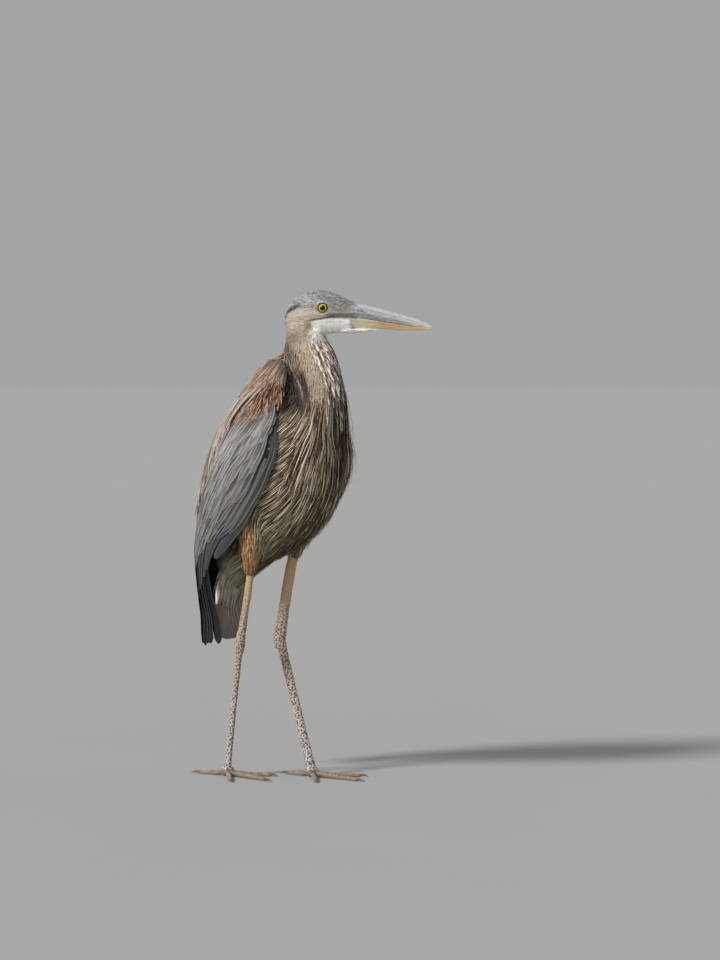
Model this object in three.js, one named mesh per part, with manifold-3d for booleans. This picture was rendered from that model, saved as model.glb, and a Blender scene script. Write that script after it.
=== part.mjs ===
// A young great blue heron standing upright with its neck drawn in, life size, in millimetres, +Z up.
// The bill points along +X, turned a little towards -Y, and the origin is under the middle of the bird.
// The bird's own frame has +X forward from the breast, +Y to the bird's left and +Z up.

import * as THREE from 'three';
import { mergeVertices } from 'three/addons/utils/BufferGeometryUtils.js';
import Module from 'manifold-3d';

const wasm = await Module();
wasm.setup();

// ---- Driving sizes -------------------------------------------------------------------------------

const GAP = 0.3; // clear space where two pieces meet
const DEGREE = Math.PI / 180;

const BODY_HEADING = -42 * DEGREE; // the breast faces this way, seen from above, from +X
const HEAD_HEADING = -14 * DEGREE; // the bill faces this way

const CROWN_HEIGHT = 733; // floor to the top of the crown
const NECK_PARTING = 588; // where the upper neck ends and the loop of the lower neck starts

const EYEBALL = 8.4; // radius
const EYE_OPENING = 6.6; // radius of the opening between the lids
const EYE_FORWARD = 40; // from the middle of the neck's top, along the head
const EYE_OUT = 14.6; // from the head's middle plane
const EYE_BELOW_CROWN = 27.5;

const BILL_START = 81; // edge of the forehead's feathers, along the head
const BILL_REACH = 122; // from there to the tip, measured level

const WING_TIP_HEIGHT = 203;
const WING_TOP_HEIGHT = 604;
const TAIL_TIP_HEIGHT = 208;
const TAIL_ROOT_HEIGHT = 318;

const ANKLE_LENGTH = 34;
const TIBIA_HALF_WIDTH = 5;
const TARSUS_HALF_WIDTH = 4;
const LEG_DEPTH = 1.6; // the bare leg is that much deeper, front to back, than it is wide
const FOOT_RADIUS = 8.5; // round of the pad where the toes meet
const FOOT_PROPORTIONS = [1.25, 1.15, 0.95]; // of that radius: the pad's length, width and height
const FOOT_HEIGHT = 7.4; // the pad's middle, above the floor
const FLAT_DEPTH = 0.7; // how much of each toe's round underside the floor flattens

// How finely each solid is divided: rings along it and sides round it.
const DIVISION = {
  trunk: [18, 20],
  wing: [26, 16],
  tail: [9, 12],
  neck: [14, 16],
  skull: [14, 16],
  chin: [4, 8],
  billUpper: [10, 12],
  billLower: [10, 10],
  eyeball: [12, 8],
  thigh: [7, 10],
  bareLeg: [6, 8],
  footPad: [10, 7],
  claw: [4, 5],
};
const TOE_SIDES = 7;

// ---- Helpers -------------------------------------------------------------------------------------

// Smooth curves through a few stations: each row holds a level, then the sizes at that level.
function profile(rows) {
  const levels = rows.map((row) => row[0]);
  const sizes = rows.flatMap((row) => row.slice(1));
  const curve = new THREE.CubicInterpolant(levels, sizes, rows[0].length - 1);
  return (level) => Array.from(curve.evaluate(level));
}

// A closed solid: the rings of a capped cylinder, laid where point(along, turn) says.
// along runs from 0 to 1 and turn once round.
function loft([rings, sides], point) {
  const geometry = new THREE.CylinderGeometry(1, 1, 1, sides, rings);
  const position = geometry.getAttribute('position');
  const centre = (along) => {
    const sum = new THREE.Vector3();
    for (let side = 0; side < sides; side += 1) {
      sum.add(point(along, (side / sides) * 2 * Math.PI));
    }
    return sum.divideScalar(sides);
  };
  for (let index = 0; index < position.count; index += 1) {
    const along = position.getY(index) + 0.5;
    const onAxis = Math.hypot(position.getX(index), position.getZ(index)) < 0.5;
    const turn = Math.atan2(position.getX(index), position.getZ(index));
    const placed = onAxis ? centre(along) : point(along, turn);
    position.setXYZ(index, placed.x, placed.y, placed.z);
  }
  return toSolid(geometry);
}

// A manifold solid from a closed three.js geometry, faces pointing out.
function toSolid(geometry) {
  const bare = geometry.clone();
  bare.deleteAttribute('normal');
  bare.deleteAttribute('uv');
  const merged = mergeVertices(bare, 1e-4);
  const vertProperties = new Float32Array(merged.getAttribute('position').array);
  const triVerts = new Uint32Array(merged.getIndex().array);
  if (signedVolume(vertProperties, triVerts) < 0) {
    for (let corner = 0; corner < triVerts.length; corner += 3) {
      [triVerts[corner], triVerts[corner + 1]] = [triVerts[corner + 1], triVerts[corner]];
    }
  }
  return new wasm.Manifold(new wasm.Mesh({ numProp: 3, vertProperties, triVerts }));
}

function signedVolume(points, corners) {
  const at = (corner) => new THREE.Vector3().fromArray(points, corners[corner] * 3);
  let volume = 0;
  for (let corner = 0; corner < corners.length; corner += 3) {
    volume += at(corner).dot(at(corner + 1).cross(at(corner + 2))) / 6;
  }
  return volume;
}

function toGeometry(solid) {
  const mesh = solid.getMesh();
  const geometry = new THREE.BufferGeometry();
  geometry.setAttribute('position', new THREE.BufferAttribute(mesh.vertProperties, 3));
  geometry.setIndex(new THREE.BufferAttribute(mesh.triVerts, 1));
  geometry.computeVertexNormals();
  return geometry;
}

// The part of a solid between two heights.
function between(solid, low, high) {
  const reach = 2000;
  const slab = new THREE.BoxGeometry(reach, reach, high - low);
  slab.translate(0, 0, (low + high) / 2);
  return solid.intersect(toSolid(slab));
}

// What is left of a solid after the tools are cut away, without loose crumbs.
function cut(solid, ...tools) {
  const rest = tools.reduce((left, tool) => left.subtract(tool), solid);
  const pieces = rest.decompose();
  return pieces.reduce((largest, piece) => (piece.volume() > largest.volume() ? piece : largest));
}

// Power of a sine or cosine that keeps its sign: squares off an oval as `squareness` passes 2.
function squared(value, squareness) {
  return Math.sign(value) * Math.abs(value) ** (2 / squareness);
}

// A body solid from level sections. Each row: height, back, middle, front, half width, squareness.
function levelBody(rows, division, grow = 0) {
  const section = profile(rows);
  const low = rows[0][0];
  const high = rows[rows.length - 1][0];
  return loft(division, (along, turn) => {
    const height = low + (high - low) * along;
    const [back, middle, front, half, squareness] = section(height);
    const ahead = squared(Math.cos(turn), squareness);
    const aside = squared(Math.sin(turn), squareness);
    const reach = (ahead > 0 ? front - middle : middle - back) + grow;
    const rise = (along - 0.5) * 2 * grow;
    return new THREE.Vector3(middle + ahead * reach, aside * (half + grow), height + rise);
  });
}

// An oval limb along a curve. size(along) gives its half width, measured towards `side`, and its
// half depth, measured across that.
function limb(curve, size, division, grow = 0, side = new THREE.Vector3(0, 1, 0)) {
  return loft(division, (along, turn) => {
    const placed = curve.getPointAt(along);
    const ahead = curve.getTangentAt(along);
    const across = side.clone().cross(ahead).normalize();
    const outward = ahead.clone().cross(across);
    const [half, depth] = size(along);
    placed.addScaledVector(across, Math.cos(turn) * (depth + grow));
    placed.addScaledVector(outward, Math.sin(turn) * (half + grow));
    return placed.addScaledVector(ahead, (along - 0.5) * 2 * grow);
  });
}

function smoothCurve(...points) {
  const places = points.map((point) => new THREE.Vector3(...point));
  return new THREE.CatmullRomCurve3(places, false, 'centripetal');
}

// ---- Materials -----------------------------------------------------------------------------------

const FINISH = {
  head: { color: 0x7a7d80, roughness: 0.85 },
  neck: { color: 0x8f8272, roughness: 0.9 },
  trunk: { color: 0x857a66, roughness: 0.9 },
  wing: { color: 0x7d838d, roughness: 0.8 },
  tail: { color: 0x7f7f7f, roughness: 0.8 },
  thigh: { color: 0xa86f48, roughness: 0.9 },
  skin: { color: 0xb59f83, roughness: 0.6 },
  scales: { color: 0x8f8880, roughness: 0.6 },
  claw: { color: 0x4c443c, roughness: 0.4 },
  billUpper: { color: 0x6d7480, roughness: 0.45 },
  billLower: { color: 0xd09a4e, roughness: 0.45 },
  eye: { color: 0xe0c020, roughness: 0.1 },
};

const bird = new THREE.Group();
bird.rotation.z = BODY_HEADING;

function add(name, solid, finish) {
  const material = new THREE.MeshStandardMaterial({ ...FINISH[finish], metalness: 0 });
  const mesh = new THREE.Mesh(toGeometry(solid), material);
  mesh.name = name;
  bird.add(mesh);
}

// ---- Trunk ---------------------------------------------------------------------------------------

// Height, back, middle, front, half width, squareness: from the vent up to the mantle.
const TRUNK = [
  [266, -96, -92, -88, 3, 2],
  [274, -99, -90, -81, 8, 2],
  [284, -102, -86, -70, 14, 2],
  [302, -105, -77, -44, 26, 2.1],
  [325, -108, -58, -8, 38, 2.2],
  [345, -108, -45, 34, 50, 2.2],
  [361, -107, -34, 64, 58, 2.2],
  [384, -106, -24, 90, 66, 2.2],
  [410, -103, -16, 111, 72, 2.2],
  [438, -97, -10, 129, 76, 2.2],
  [470, -87, -4, 141, 77, 2.2],
  [500, -76, 2, 143, 75, 2.2],
  [530, -61, 8, 134, 71, 2.1],
  [555, -47, 16, 113, 66, 2.1],
  [580, -31, 22, 82, 59, 2.1],
  [605, -12, 30, 64, 47, 2.1],
  [625, 7, 38, 62, 33, 2],
  [642, 30, 46, 60, 12, 2],
];

// ---- Wings ---------------------------------------------------------------------------------------

// The shape that the folded wings are laid on, in the trunk's terms: its flanks and, below them,
// a hollow that narrows to where the wing tips meet behind the tail.
const FLANKS = [
  [WING_TIP_HEIGHT, -109, -97, -86, 14, 2.6],
  [216, -120, -89, -66, 27, 3],
  [240, -121, -82, -50, 36, 3.2],
  [270, -121, -76, -40, 43, 3.3],
  [300, -118, -62, -20, 54, 3.2],
  [328, -117, -46, 20, 66, 3],
  [361, -113, -33, 66, 73, 2.7],
  [384, -109, -24, 92, 75.5, 2.6],
  [410, -105, -16, 112, 77.5, 2.5],
  [438, -98.5, -10, 130, 78.5, 2.4],
  [470, -88.5, -4, 142, 78.5, 2.3],
  [500, -77.5, 2, 144, 76.5, 2.2],
  [530, -62.5, 8, 135, 72.5, 2.1],
  [555, -48.5, 16, 114, 67.5, 2.1],
  [580, -32.5, 22, 83, 60.5, 2.1],
  [605, -13.5, 30, 65, 48.5, 2.1],
];

// Height, angle of the wing's back edge and of its front edge (0 is the middle of the back and
// 180 the breast), thickness. Flight feathers below, coverts from 384 up, wrist at the top.
const WING = [
  [WING_TIP_HEIGHT, 40, 80, 1.2],
  [212, 12, 92, 1.8],
  [235, 2.4, 91, 2.4],
  [270, 1.6, 91, 2.8],
  [312, 1.4, 90, 3],
  [339, 1.4, 95, 3.4],
  [361, 1.4, 102, 4],
  [384, 1.8, 103, 5],
  [396, 2.4, 107, 6],
  [410, 3.6, 112, 6.6],
  [432, 6, 112, 7],
  [462, 13, 119, 7.4],
  [507, 26, 121.5, 7.6],
  [547, 46, 123, 7],
  [582, 76, 132, 5],
  [WING_TOP_HEIGHT, 104, 122, 2],
];
const WING_EDGE = 0.9; // thickness of its rim
const FEATHER_STEP = 2.2; // degrees by which each flight feather's tip stands out from the front edge
const FEATHER_PITCH = 19; // height between those tips

// A folded wing is a thin crescent laid on the flank.
function wing(side) {
  const flank = profile(FLANKS);
  const outline = profile(WING);
  return loft(DIVISION.wing, (along, turn) => {
    const height = WING_TIP_HEIGHT + (WING_TOP_HEIGHT - WING_TIP_HEIGHT) * along;
    const [back, middle, front, half, squareness] = flank(height);
    const [start, end, thickness] = outline(height);
    const tips = FEATHER_STEP * ((height / FEATHER_PITCH) % 1);
    const across = (1 - Math.cos(turn)) / 2;
    const angle = (start + (end - tips - start) * across) * DEGREE;
    const bulge = Math.sin(turn);
    const raise = bulge > -0.01 ? WING_EDGE + thickness * Math.sqrt(Math.max(0, bulge)) : 0;
    const ahead = -squared(Math.cos(angle), squareness);
    const aside = squared(Math.sin(angle), squareness);
    const reach = (ahead > 0 ? front - middle : middle - back) + raise;
    return new THREE.Vector3(middle + ahead * reach, side * aside * (half + raise), height);
  });
}

// ---- Tail ----------------------------------------------------------------------------------------

// Height, place forward, half width, half thickness of a shallow fan with a round tip.
const TAIL = [
  [TAIL_TIP_HEIGHT, -84, 12, 0.9],
  [214, -84.5, 26, 1.2],
  [232, -86, 34, 1.5],
  [262, -88, 38, 2],
  [300, -92, 36, 3],
  [TAIL_ROOT_HEIGHT, -94, 33, 4],
];
const TAIL_HOLLOW = 5; // how far the fan's sides curl towards the legs

function tail() {
  const section = profile(TAIL);
  return loft(DIVISION.tail, (along, turn) => {
    const height = TAIL_TIP_HEIGHT + (TAIL_ROOT_HEIGHT - TAIL_TIP_HEIGHT) * along;
    const [forward, half, thickness] = section(height);
    const hollow = TAIL_HOLLOW * Math.cos(turn) ** 2 * (half / 35) ** 2;
    return new THREE.Vector3(forward + hollow + Math.sin(turn) * thickness, Math.cos(turn) * half, height);
  });
}

// ---- Neck ----------------------------------------------------------------------------------------

const TWIST = HEAD_HEADING - BODY_HEADING; // the head's turn to the left of the body's heading
const UNTWIST = 2.2; // the neck loses that turn in the first part, 1 / UNTWIST, of its length

// Middle of the neck: it comes down from the head, forward, and loops back into the breast.
const NECK_PATH = smoothCurve(
  [60, 0, 684],
  [66, 0, 662],
  [81, 0, 639],
  [97, 0, 612],
  [108, 0, 580],
  [112, 0, 550],
  [110, 0, 520],
  [101, 0, 490],
  [86, 0, 462],
);

// Along the neck: half width and half depth.
const NECK = [
  [0, 20, 24],
  [0.1, 23.5, 30],
  [0.25, 26, 35],
  [0.45, 28, 34],
  [0.65, 31, 34],
  [0.85, 34, 33],
  [1, 20, 18],
];

function neck(grow = 0) {
  const size = profile(NECK);
  return loft(DIVISION.neck, (along, turn) => {
    const placed = NECK_PATH.getPointAt(along);
    const ahead = NECK_PATH.getTangentAt(along);
    const twist = TWIST * Math.max(0, 1 - along * UNTWIST);
    const left = new THREE.Vector3(-Math.sin(twist), Math.cos(twist), 0);
    left.addScaledVector(ahead, -left.dot(ahead)).normalize();
    const front = left.clone().cross(ahead).normalize();
    const [half, depth] = size(along);
    placed.addScaledVector(left, Math.cos(turn) * (half + grow));
    placed.addScaledVector(front, Math.sin(turn) * (depth + grow));
    return placed.addScaledVector(ahead, (along - 0.5) * 2 * grow);
  });
}

// ---- Head, in its own frame: +X along the bill, origin under the middle of the neck's top --------

const HEAD_FORWARD = 58; // the head's origin in the bird's frame
const HEAD_PLACE = new THREE.Matrix4()
  .makeTranslation(HEAD_FORWARD, 0, 0)
  .multiply(new THREE.Matrix4().makeRotationZ(TWIST));

// Distance forward; then the lowest, widest and highest places, down from the crown; half width.
const SKULL = [
  [-25.5, 52, 46, 41, 4],
  [-23, 67, 46, 32, 12],
  [-15, 79, 44, 20, 17.5],
  [0, 81, 42, 8.5, 22],
  [15, 76, 39, 2.5, 23.6],
  [30, 69, 36, 0, 23.4],
  [45, 65, 34, 1.8, 21.8],
  [60, 64.5, 35, 7.5, 18],
  [72, 64, 38, 13.5, 14],
  [BILL_START, 64, 42, 19, 11.6],
];

// The feathered strip under the bill.
const CHIN = [
  [BILL_START - 12, 65, 61.5, 58.4, 8.5],
  [BILL_START + 3, 64.4, 61, 57.8, 7],
  [105, 62.4, 60, 57.8, 4.6],
  [127, 60.4, 59.7, 59, 1.4],
];

// The bill, with the line of the mouth in the place of the widest one.
const BILL = [
  [BILL_START + GAP, 57.4, 43, 19, 10.6],
  [101, 57.3, 43.6, 23.4, 8.6],
  [125, 58.4, 47.6, 29, 6.6],
  [155, 60.2, 52, 37.6, 4.4],
  [182, 60.2, 55.2, 45.6, 2.6],
  [BILL_START + BILL_REACH - 5, 59, 56.4, 52, 1.3],
  [BILL_START + BILL_REACH, 57.4, 56.8, 56, 0.5],
];
const CULMEN_PINCH = 0.3; // how much narrower the bill is along its ridges

// Upright sections along the head's own length, placed on the bird.
function headSolid(rows, division, grow, outline) {
  const section = profile(rows);
  const start = rows[0][0];
  const end = rows[rows.length - 1][0];
  return loft(division, (along, turn) => {
    const forward = start + (end - start) * along;
    const [lowest, widest, highest, half] = section(forward);
    const [low, middle, high] = [lowest, widest, highest].map((down) => CROWN_HEIGHT - down);
    const [aside, height] = outline(turn, low - grow, middle, high + grow, half + grow);
    const placed = new THREE.Vector3(forward + (along - 0.5) * 2 * grow, aside, height);
    return placed.applyMatrix4(HEAD_PLACE);
  });
}

function roundOutline(turn, low, middle, high, half) {
  const rise = Math.sin(turn);
  return [Math.cos(turn) * half, middle + rise * (rise > 0 ? high - middle : middle - low)];
}

// Half of the bill: flat along the mouth, and vaulted up or down from it.
function billOutline(upper) {
  return (turn, low, middle, high, half) => {
    const vault = Math.max(0, Math.sin(turn));
    const aside = Math.cos(turn) * half * (1 - CULMEN_PINCH * vault);
    const mouth = middle + (upper ? GAP / 2 : -GAP / 2);
    return [aside, mouth + vault * ((upper ? high : low) - mouth)];
  };
}

function skull(grow = 0) {
  const chin = headSolid(CHIN, DIVISION.chin, grow, roundOutline);
  return headSolid(SKULL, DIVISION.skull, grow, roundOutline).add(chin);
}

function eyeball(side, grow = 0) {
  const ball = new THREE.SphereGeometry(EYEBALL + grow, ...DIVISION.eyeball);
  ball.translate(EYE_FORWARD, side * EYE_OUT, CROWN_HEIGHT - EYE_BELOW_CROWN);
  return toSolid(ball.applyMatrix4(HEAD_PLACE));
}

// The round opening that shows the eyeball between the lids.
function eyeOpening(side) {
  const depth = 20;
  const opening = new THREE.CylinderGeometry(EYE_OPENING, EYE_OPENING, depth, DIVISION.eyeball[0]);
  opening.translate(EYE_FORWARD, side * (EYE_OUT + depth / 2), CROWN_HEIGHT - EYE_BELOW_CROWN);
  return toSolid(opening.applyMatrix4(HEAD_PLACE));
}

// ---- Legs ----------------------------------------------------------------------------------------

// Places in the bird's own frame: forward, left, height. `turn` is how far the leg's broad side
// is turned to the left, and the toes' angles are measured from straight ahead, to the left.
const LEGS = {
  right: {
    side: -1,
    turn: -35,
    hip: [18, -50, 410],
    knee: [2, -44, 350],
    feathersEnd: [-7, -39, 306],
    ankle: [-29, -38, 202],
    foot: [-56, -38, FOOT_HEIGHT],
    toes: { middle: -5, inner: 32, outer: -42, hind: 192 },
  },
  left: {
    side: 1,
    turn: 25,
    hip: [32, 50, 410],
    knee: [20, 43, 372],
    feathersEnd: [9, 38, 330],
    ankle: [-19, 38, 207],
    foot: [48, 38, FOOT_HEIGHT],
    toes: { middle: 4, inner: -42, outer: 40, hind: 182 },
  },
};

// Each toe's length from the middle of the foot, its claw's length, its radius at root and tip,
// and how many joints swell it.
const TOES = {
  middle: { length: 86, claw: 15, root: 4.3, tip: 2.9, joints: 3 },
  inner: { length: 66, claw: 13, root: 4, tip: 2.8, joints: 2 },
  outer: { length: 72, claw: 13, root: 4, tip: 2.8, joints: 4 },
  hind: { length: 48, claw: 18, root: 3.8, tip: 2.7, joints: 1 },
};
const TOE_SWELL = 0.08; // how much a joint swells the toe, as a part of its radius
const TOE_WAIST = 0.62; // how narrow the toe's root is, beside its neighbours
const WAIST_PART = 0.2; // how much of the toe that takes
const TOE_BEND = 0.35; // where along it the toe comes down to the floor

function sideways(leg) {
  const turn = leg.turn * DEGREE;
  return new THREE.Vector3(-Math.sin(turn), Math.cos(turn), 0);
}

// Down the feathered part of the leg: half width and half depth.
const THIGH = [
  [0, 10, 14],
  [0.25, 18, 22],
  [0.5, 16, 19],
  [0.8, 11, 12],
  [1, 7.6, 8.4],
];
const ANKLE_SWELL = [3.6, 3.4]; // how much the joint stands out from the leg, sideways and fore and aft
const ANKLE_FLARE = 2; // how much the bare shin widens towards the joint
const TARSUS_FLARE = 1.3; // how much the tarsus widens towards its ends

// The feathered part of the leg, half sunk in the flank.
function thigh(leg, grow = 0) {
  return limb(smoothCurve(leg.hip, leg.knee, leg.feathersEnd), profile(THIGH), DIVISION.thigh, grow);
}

function tibia(leg) {
  const size = (along) => {
    const flare = ANKLE_FLARE * along ** 8;
    return [TIBIA_HALF_WIDTH + flare, TIBIA_HALF_WIDTH * LEG_DEPTH + flare];
  };
  const curve = smoothCurve(leg.knee, leg.feathersEnd, leg.ankle);
  return limb(curve, size, DIVISION.bareLeg, 0, sideways(leg));
}

// The ankle is the swollen joint half way down the bare leg.
function ankle(leg, grow = 0) {
  const [forward, left, height] = leg.ankle;
  const reach = ANKLE_LENGTH / 2;
  const curve = smoothCurve([forward, left, height + reach], leg.ankle, [forward, left, height - reach]);
  const size = (along) => {
    const swell = Math.sin(Math.PI * along) ** 1.5;
    const [aside, ahead] = ANKLE_SWELL;
    return [TARSUS_HALF_WIDTH + aside * swell, TARSUS_HALF_WIDTH * LEG_DEPTH + ahead * swell];
  };
  return limb(curve, size, DIVISION.bareLeg, grow, sideways(leg));
}

function tarsus(leg) {
  const size = (along) => {
    const flare = TARSUS_FLARE * Math.abs(2 * along - 1) ** 4;
    return [TARSUS_HALF_WIDTH + flare, TARSUS_HALF_WIDTH * LEG_DEPTH + flare];
  };
  return limb(smoothCurve(leg.ankle, leg.foot), size, DIVISION.bareLeg, 0, sideways(leg));
}

function aboveFloor(solid) {
  return between(solid, 0, CROWN_HEIGHT);
}

// The pad where the toes meet, flattened by the floor.
function footPad(leg, grow = 0) {
  const pad = new THREE.SphereGeometry(FOOT_RADIUS + grow, ...DIVISION.footPad);
  pad.scale(...FOOT_PROPORTIONS);
  pad.translate(...leg.foot);
  return aboveFloor(toSolid(pad));
}

// A toe's direction, and a place along it at a given height.
function toePlace(leg, name, distance, height) {
  const angle = leg.toes[name] * DEGREE;
  return [leg.foot[0] + Math.cos(angle) * distance, leg.foot[1] + Math.sin(angle) * distance, height];
}

// A toe with a low swelling at each of its joints, flattened by the floor.
function toe(leg, name) {
  const { length, root, tip, joints } = TOES[name];
  const curve = smoothCurve(
    toePlace(leg, name, FOOT_RADIUS * 0.7, FOOT_HEIGHT - 1.5),
    toePlace(leg, name, length * TOE_BEND, root - FLAT_DEPTH + 0.4),
    toePlace(leg, name, length, tip - FLAT_DEPTH),
  );
  const size = (along) => {
    const swell = 1 - TOE_SWELL * Math.cos(2 * Math.PI * joints * along);
    const waist = TOE_WAIST + (1 - TOE_WAIST) * Math.min(1, along / WAIST_PART);
    const radius = (root + (tip - root) * along) * swell * waist;
    return [radius, radius];
  };
  return aboveFloor(limb(curve, size, [2 * joints + 2, TOE_SIDES]));
}

// A claw curves forward from the toe's tip and down to just above the floor.
function claw(leg, name) {
  const { length, claw: reach, tip } = TOES[name];
  const start = length + GAP + 0.1;
  const curve = smoothCurve(
    toePlace(leg, name, start, tip - 0.2),
    toePlace(leg, name, start + reach * 0.5, tip + 0.2),
    toePlace(leg, name, start + reach, 1.4),
  );
  const size = (along) => {
    const radius = 0.35 + (tip - 1) * (1 - along);
    return [radius, radius];
  };
  return limb(curve, size, DIVISION.claw);
}

// ---- The whole bird ------------------------------------------------------------------------------

const bothSides = [-1, 1];
const skullTool = skull(GAP);
const eyeTools = bothSides.flatMap((side) => [eyeball(side, GAP), eyeOpening(side)]);
add('head', cut(skull(), ...eyeTools), 'head');
add('bill_upper', headSolid(BILL, DIVISION.billUpper, 0, billOutline(true)), 'billUpper');
add('bill_lower', headSolid(BILL, DIVISION.billLower, 0, billOutline(false)), 'billLower');
add('eye_right', eyeball(-1), 'eye');
add('eye_left', eyeball(1), 'eye');

const wholeNeck = cut(neck(), skullTool);
add('neck_upper', between(wholeNeck, NECK_PARTING + GAP / 2, CROWN_HEIGHT), 'neck');
add('neck_lower', between(wholeNeck, 0, NECK_PARTING - GAP / 2), 'neck');

const legs = Object.entries(LEGS);
const thighTools = legs.map(([, leg]) => thigh(leg, GAP));
add('trunk', cut(levelBody(TRUNK, DIVISION.trunk), neck(GAP), skullTool, ...thighTools), 'trunk');

const trunkTool = levelBody(TRUNK, DIVISION.trunk, GAP);
add('tail', cut(tail(), trunkTool), 'tail');

for (const [name, leg] of legs) {
  add(`wing_${name}`, wing(leg.side), 'wing');
  add(`thigh_${name}`, thigh(leg), 'thigh');
  add(`tibia_${name}`, cut(tibia(leg), thigh(leg, GAP), ankle(leg, GAP)), 'skin');
  add(`ankle_${name}`, ankle(leg), 'scales');
  add(`tarsus_${name}`, cut(tarsus(leg), ankle(leg, GAP), footPad(leg, GAP)), 'scales');
  add(`foot_${name}`, footPad(leg), 'scales');
  for (const toeName of Object.keys(TOES)) {
    add(`toe_${name}_${toeName}`, cut(toe(leg, toeName), footPad(leg, GAP)), 'scales');
    add(`claw_${name}_${toeName}`, claw(leg, toeName), 'claw');
  }
}

// The origin goes to the middle of the model's footprint, on the floor.
const model = new THREE.Group();
model.add(bird);
model.updateMatrixWorld(true);
const bounds = new THREE.Box3().setFromObject(bird, true);
bird.position.x -= (bounds.min.x + bounds.max.x) / 2;
bird.position.y -= (bounds.min.y + bounds.max.y) / 2;

export default model;
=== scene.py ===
import math
from dataclasses import dataclass
from typing import Callable

import bpy
import numpy as np
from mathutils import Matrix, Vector
from mathutils.bvhtree import BVHTree


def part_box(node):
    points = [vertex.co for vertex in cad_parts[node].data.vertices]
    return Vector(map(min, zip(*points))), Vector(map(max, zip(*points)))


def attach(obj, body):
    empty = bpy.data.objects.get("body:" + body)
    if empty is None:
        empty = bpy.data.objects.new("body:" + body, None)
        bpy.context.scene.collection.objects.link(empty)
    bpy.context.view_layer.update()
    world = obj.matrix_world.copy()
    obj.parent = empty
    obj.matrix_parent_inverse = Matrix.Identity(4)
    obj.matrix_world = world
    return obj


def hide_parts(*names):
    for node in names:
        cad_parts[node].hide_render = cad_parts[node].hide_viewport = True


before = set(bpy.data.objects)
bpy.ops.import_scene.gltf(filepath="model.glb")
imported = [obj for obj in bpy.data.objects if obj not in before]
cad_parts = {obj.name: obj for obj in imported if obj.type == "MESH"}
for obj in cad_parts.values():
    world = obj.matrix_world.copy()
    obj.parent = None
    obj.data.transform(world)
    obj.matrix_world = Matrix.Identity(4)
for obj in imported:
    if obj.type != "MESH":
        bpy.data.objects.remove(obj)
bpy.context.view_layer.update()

bl_info = {
    "name": "Young Great Blue Heron",
    "version": (1, 0, 0),
    "blender": (4, 5, 0),
    "location": "3D View > Sidebar > Heron",
    "description": "Dresses a standing heron in skin, feathers, horn and scales",
    "category": "Object",
}

MM = 0.001
DEGREE = math.pi / 180
FULL_TURN = 2 * math.pi
UP = np.array([0.0, 0.0, 1.0])
CROWN = 733.0  # height of the crown above the floor, in millimetres like every length below
SIDES = {"right": -1, "left": 1}
WING_SALT, PLUME_SALT, TAIL_SALT, SCALE_SALT = 40, 70, 80, 90  # added to the seed of random numbers


# ---- Frames: the bird's own and its head's ----


class Place:
    """A level frame: +X ahead, +Y to the left, +Z up, turned about the vertical."""

    def __init__(self, heading, known, at):
        cos, sin = math.cos(heading * DEGREE), math.sin(heading * DEGREE)
        self.axes = np.array([[cos, sin, 0], [-sin, cos, 0], [0, 0, 1]])
        self.origin = np.array(known) - np.array(at) @ self.axes

    def out(self, points):
        return self.origin + np.asarray(points, float) @ self.axes

    def into(self, points):
        return (np.asarray(points, float) - self.origin) @ self.axes.T

    def turned(self, directions):
        return np.asarray(directions, float) @ self.axes


def middle(*nodes):
    """The middle of some nodes' boxes, in millimetres, on the floor."""
    corners = np.array([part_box(node) for node in nodes]) / MM
    x, y, _ = corners.reshape(-1, 3).mean(0)
    return [x, y, 0]


BODY = Place(-42, middle("foot_right", "foot_left"), [-4, 0, 0])
EYE = [40.0, 14.6, 27.5]  # forward, aside and below the crown, in the head's frame
HEAD = Place(-14, middle("eye_right", "eye_left"), [EYE[0], 0, 0])


# ---- Numbers and colours ----


def ease(value, low, high):
    """0 below low, 1 above high and smooth between."""
    part = np.clip((value - low) / (high - low), 0, 1)
    return part * part * (3 - 2 * part)


def fade(value, low, high):
    """1 below low, 0 above high and smooth between."""
    return 1 - ease(value, low, high)


def band(value, low, high, soft):
    """1 between low and high, fading to 0 over a width of soft on either side."""
    return ease(value, low - soft, low + soft) * fade(value, high - soft, high + soft)


def stations(rows):
    """A smooth curve through rows that each hold a level, then the sizes at that level."""
    rows = np.array(rows, float)
    levels, sizes = rows[:, 0], rows[:, 1:]
    slopes = np.gradient(sizes, levels, axis=0)

    def at(level):
        level = np.clip(np.atleast_1d(level), levels[0], levels[-1])
        row = np.clip(np.searchsorted(levels, level) - 1, 0, len(levels) - 2)
        step = (levels[row + 1] - levels[row])[:, None]
        part = (level - levels[row])[:, None] / step
        rise = part * part * (3 - 2 * part)
        start = slopes[row] * step * part * (1 - part) ** 2
        end = slopes[row + 1] * step * part * part * (1 - part)
        return sizes[row] * (1 - rise) + sizes[row + 1] * rise + start - end

    return at


def squared(value, squareness):
    return np.sign(value) * np.abs(value) ** (2 / squareness)


def unit(vectors):
    return vectors / np.maximum(np.linalg.norm(vectors, axis=-1, keepdims=True), 1e-9)


def blend(first, second, part):
    """second where part is 1, first where it is 0."""
    part = np.asarray(part, float)
    if np.ndim(first) or np.ndim(second):
        part = part[..., None]
    return first * (1 - part) + second * part


def spanned(values):
    """Values brought between 0 for the least and 1 for the most."""
    return (values - values.min()) / np.ptp(values)


def paint(red, green, blue):
    """A colour given as it looks on a screen, from 0 to 255, as the light it reflects."""
    seen = np.array([red, green, blue]) / 255
    return np.where(seen <= 0.04045, seen / 12.92, ((seen + 0.055) / 1.055) ** 2.4)


def pick(luck, *choices):
    """A colour for each number of luck. All but the last choice hold the luck they go up to."""
    colour = choices[-1]
    for limit, other in reversed(choices[:-1]):
        colour = np.where(luck < limit, other, colour)
    return colour


# ---- Shader maths ----


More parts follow.
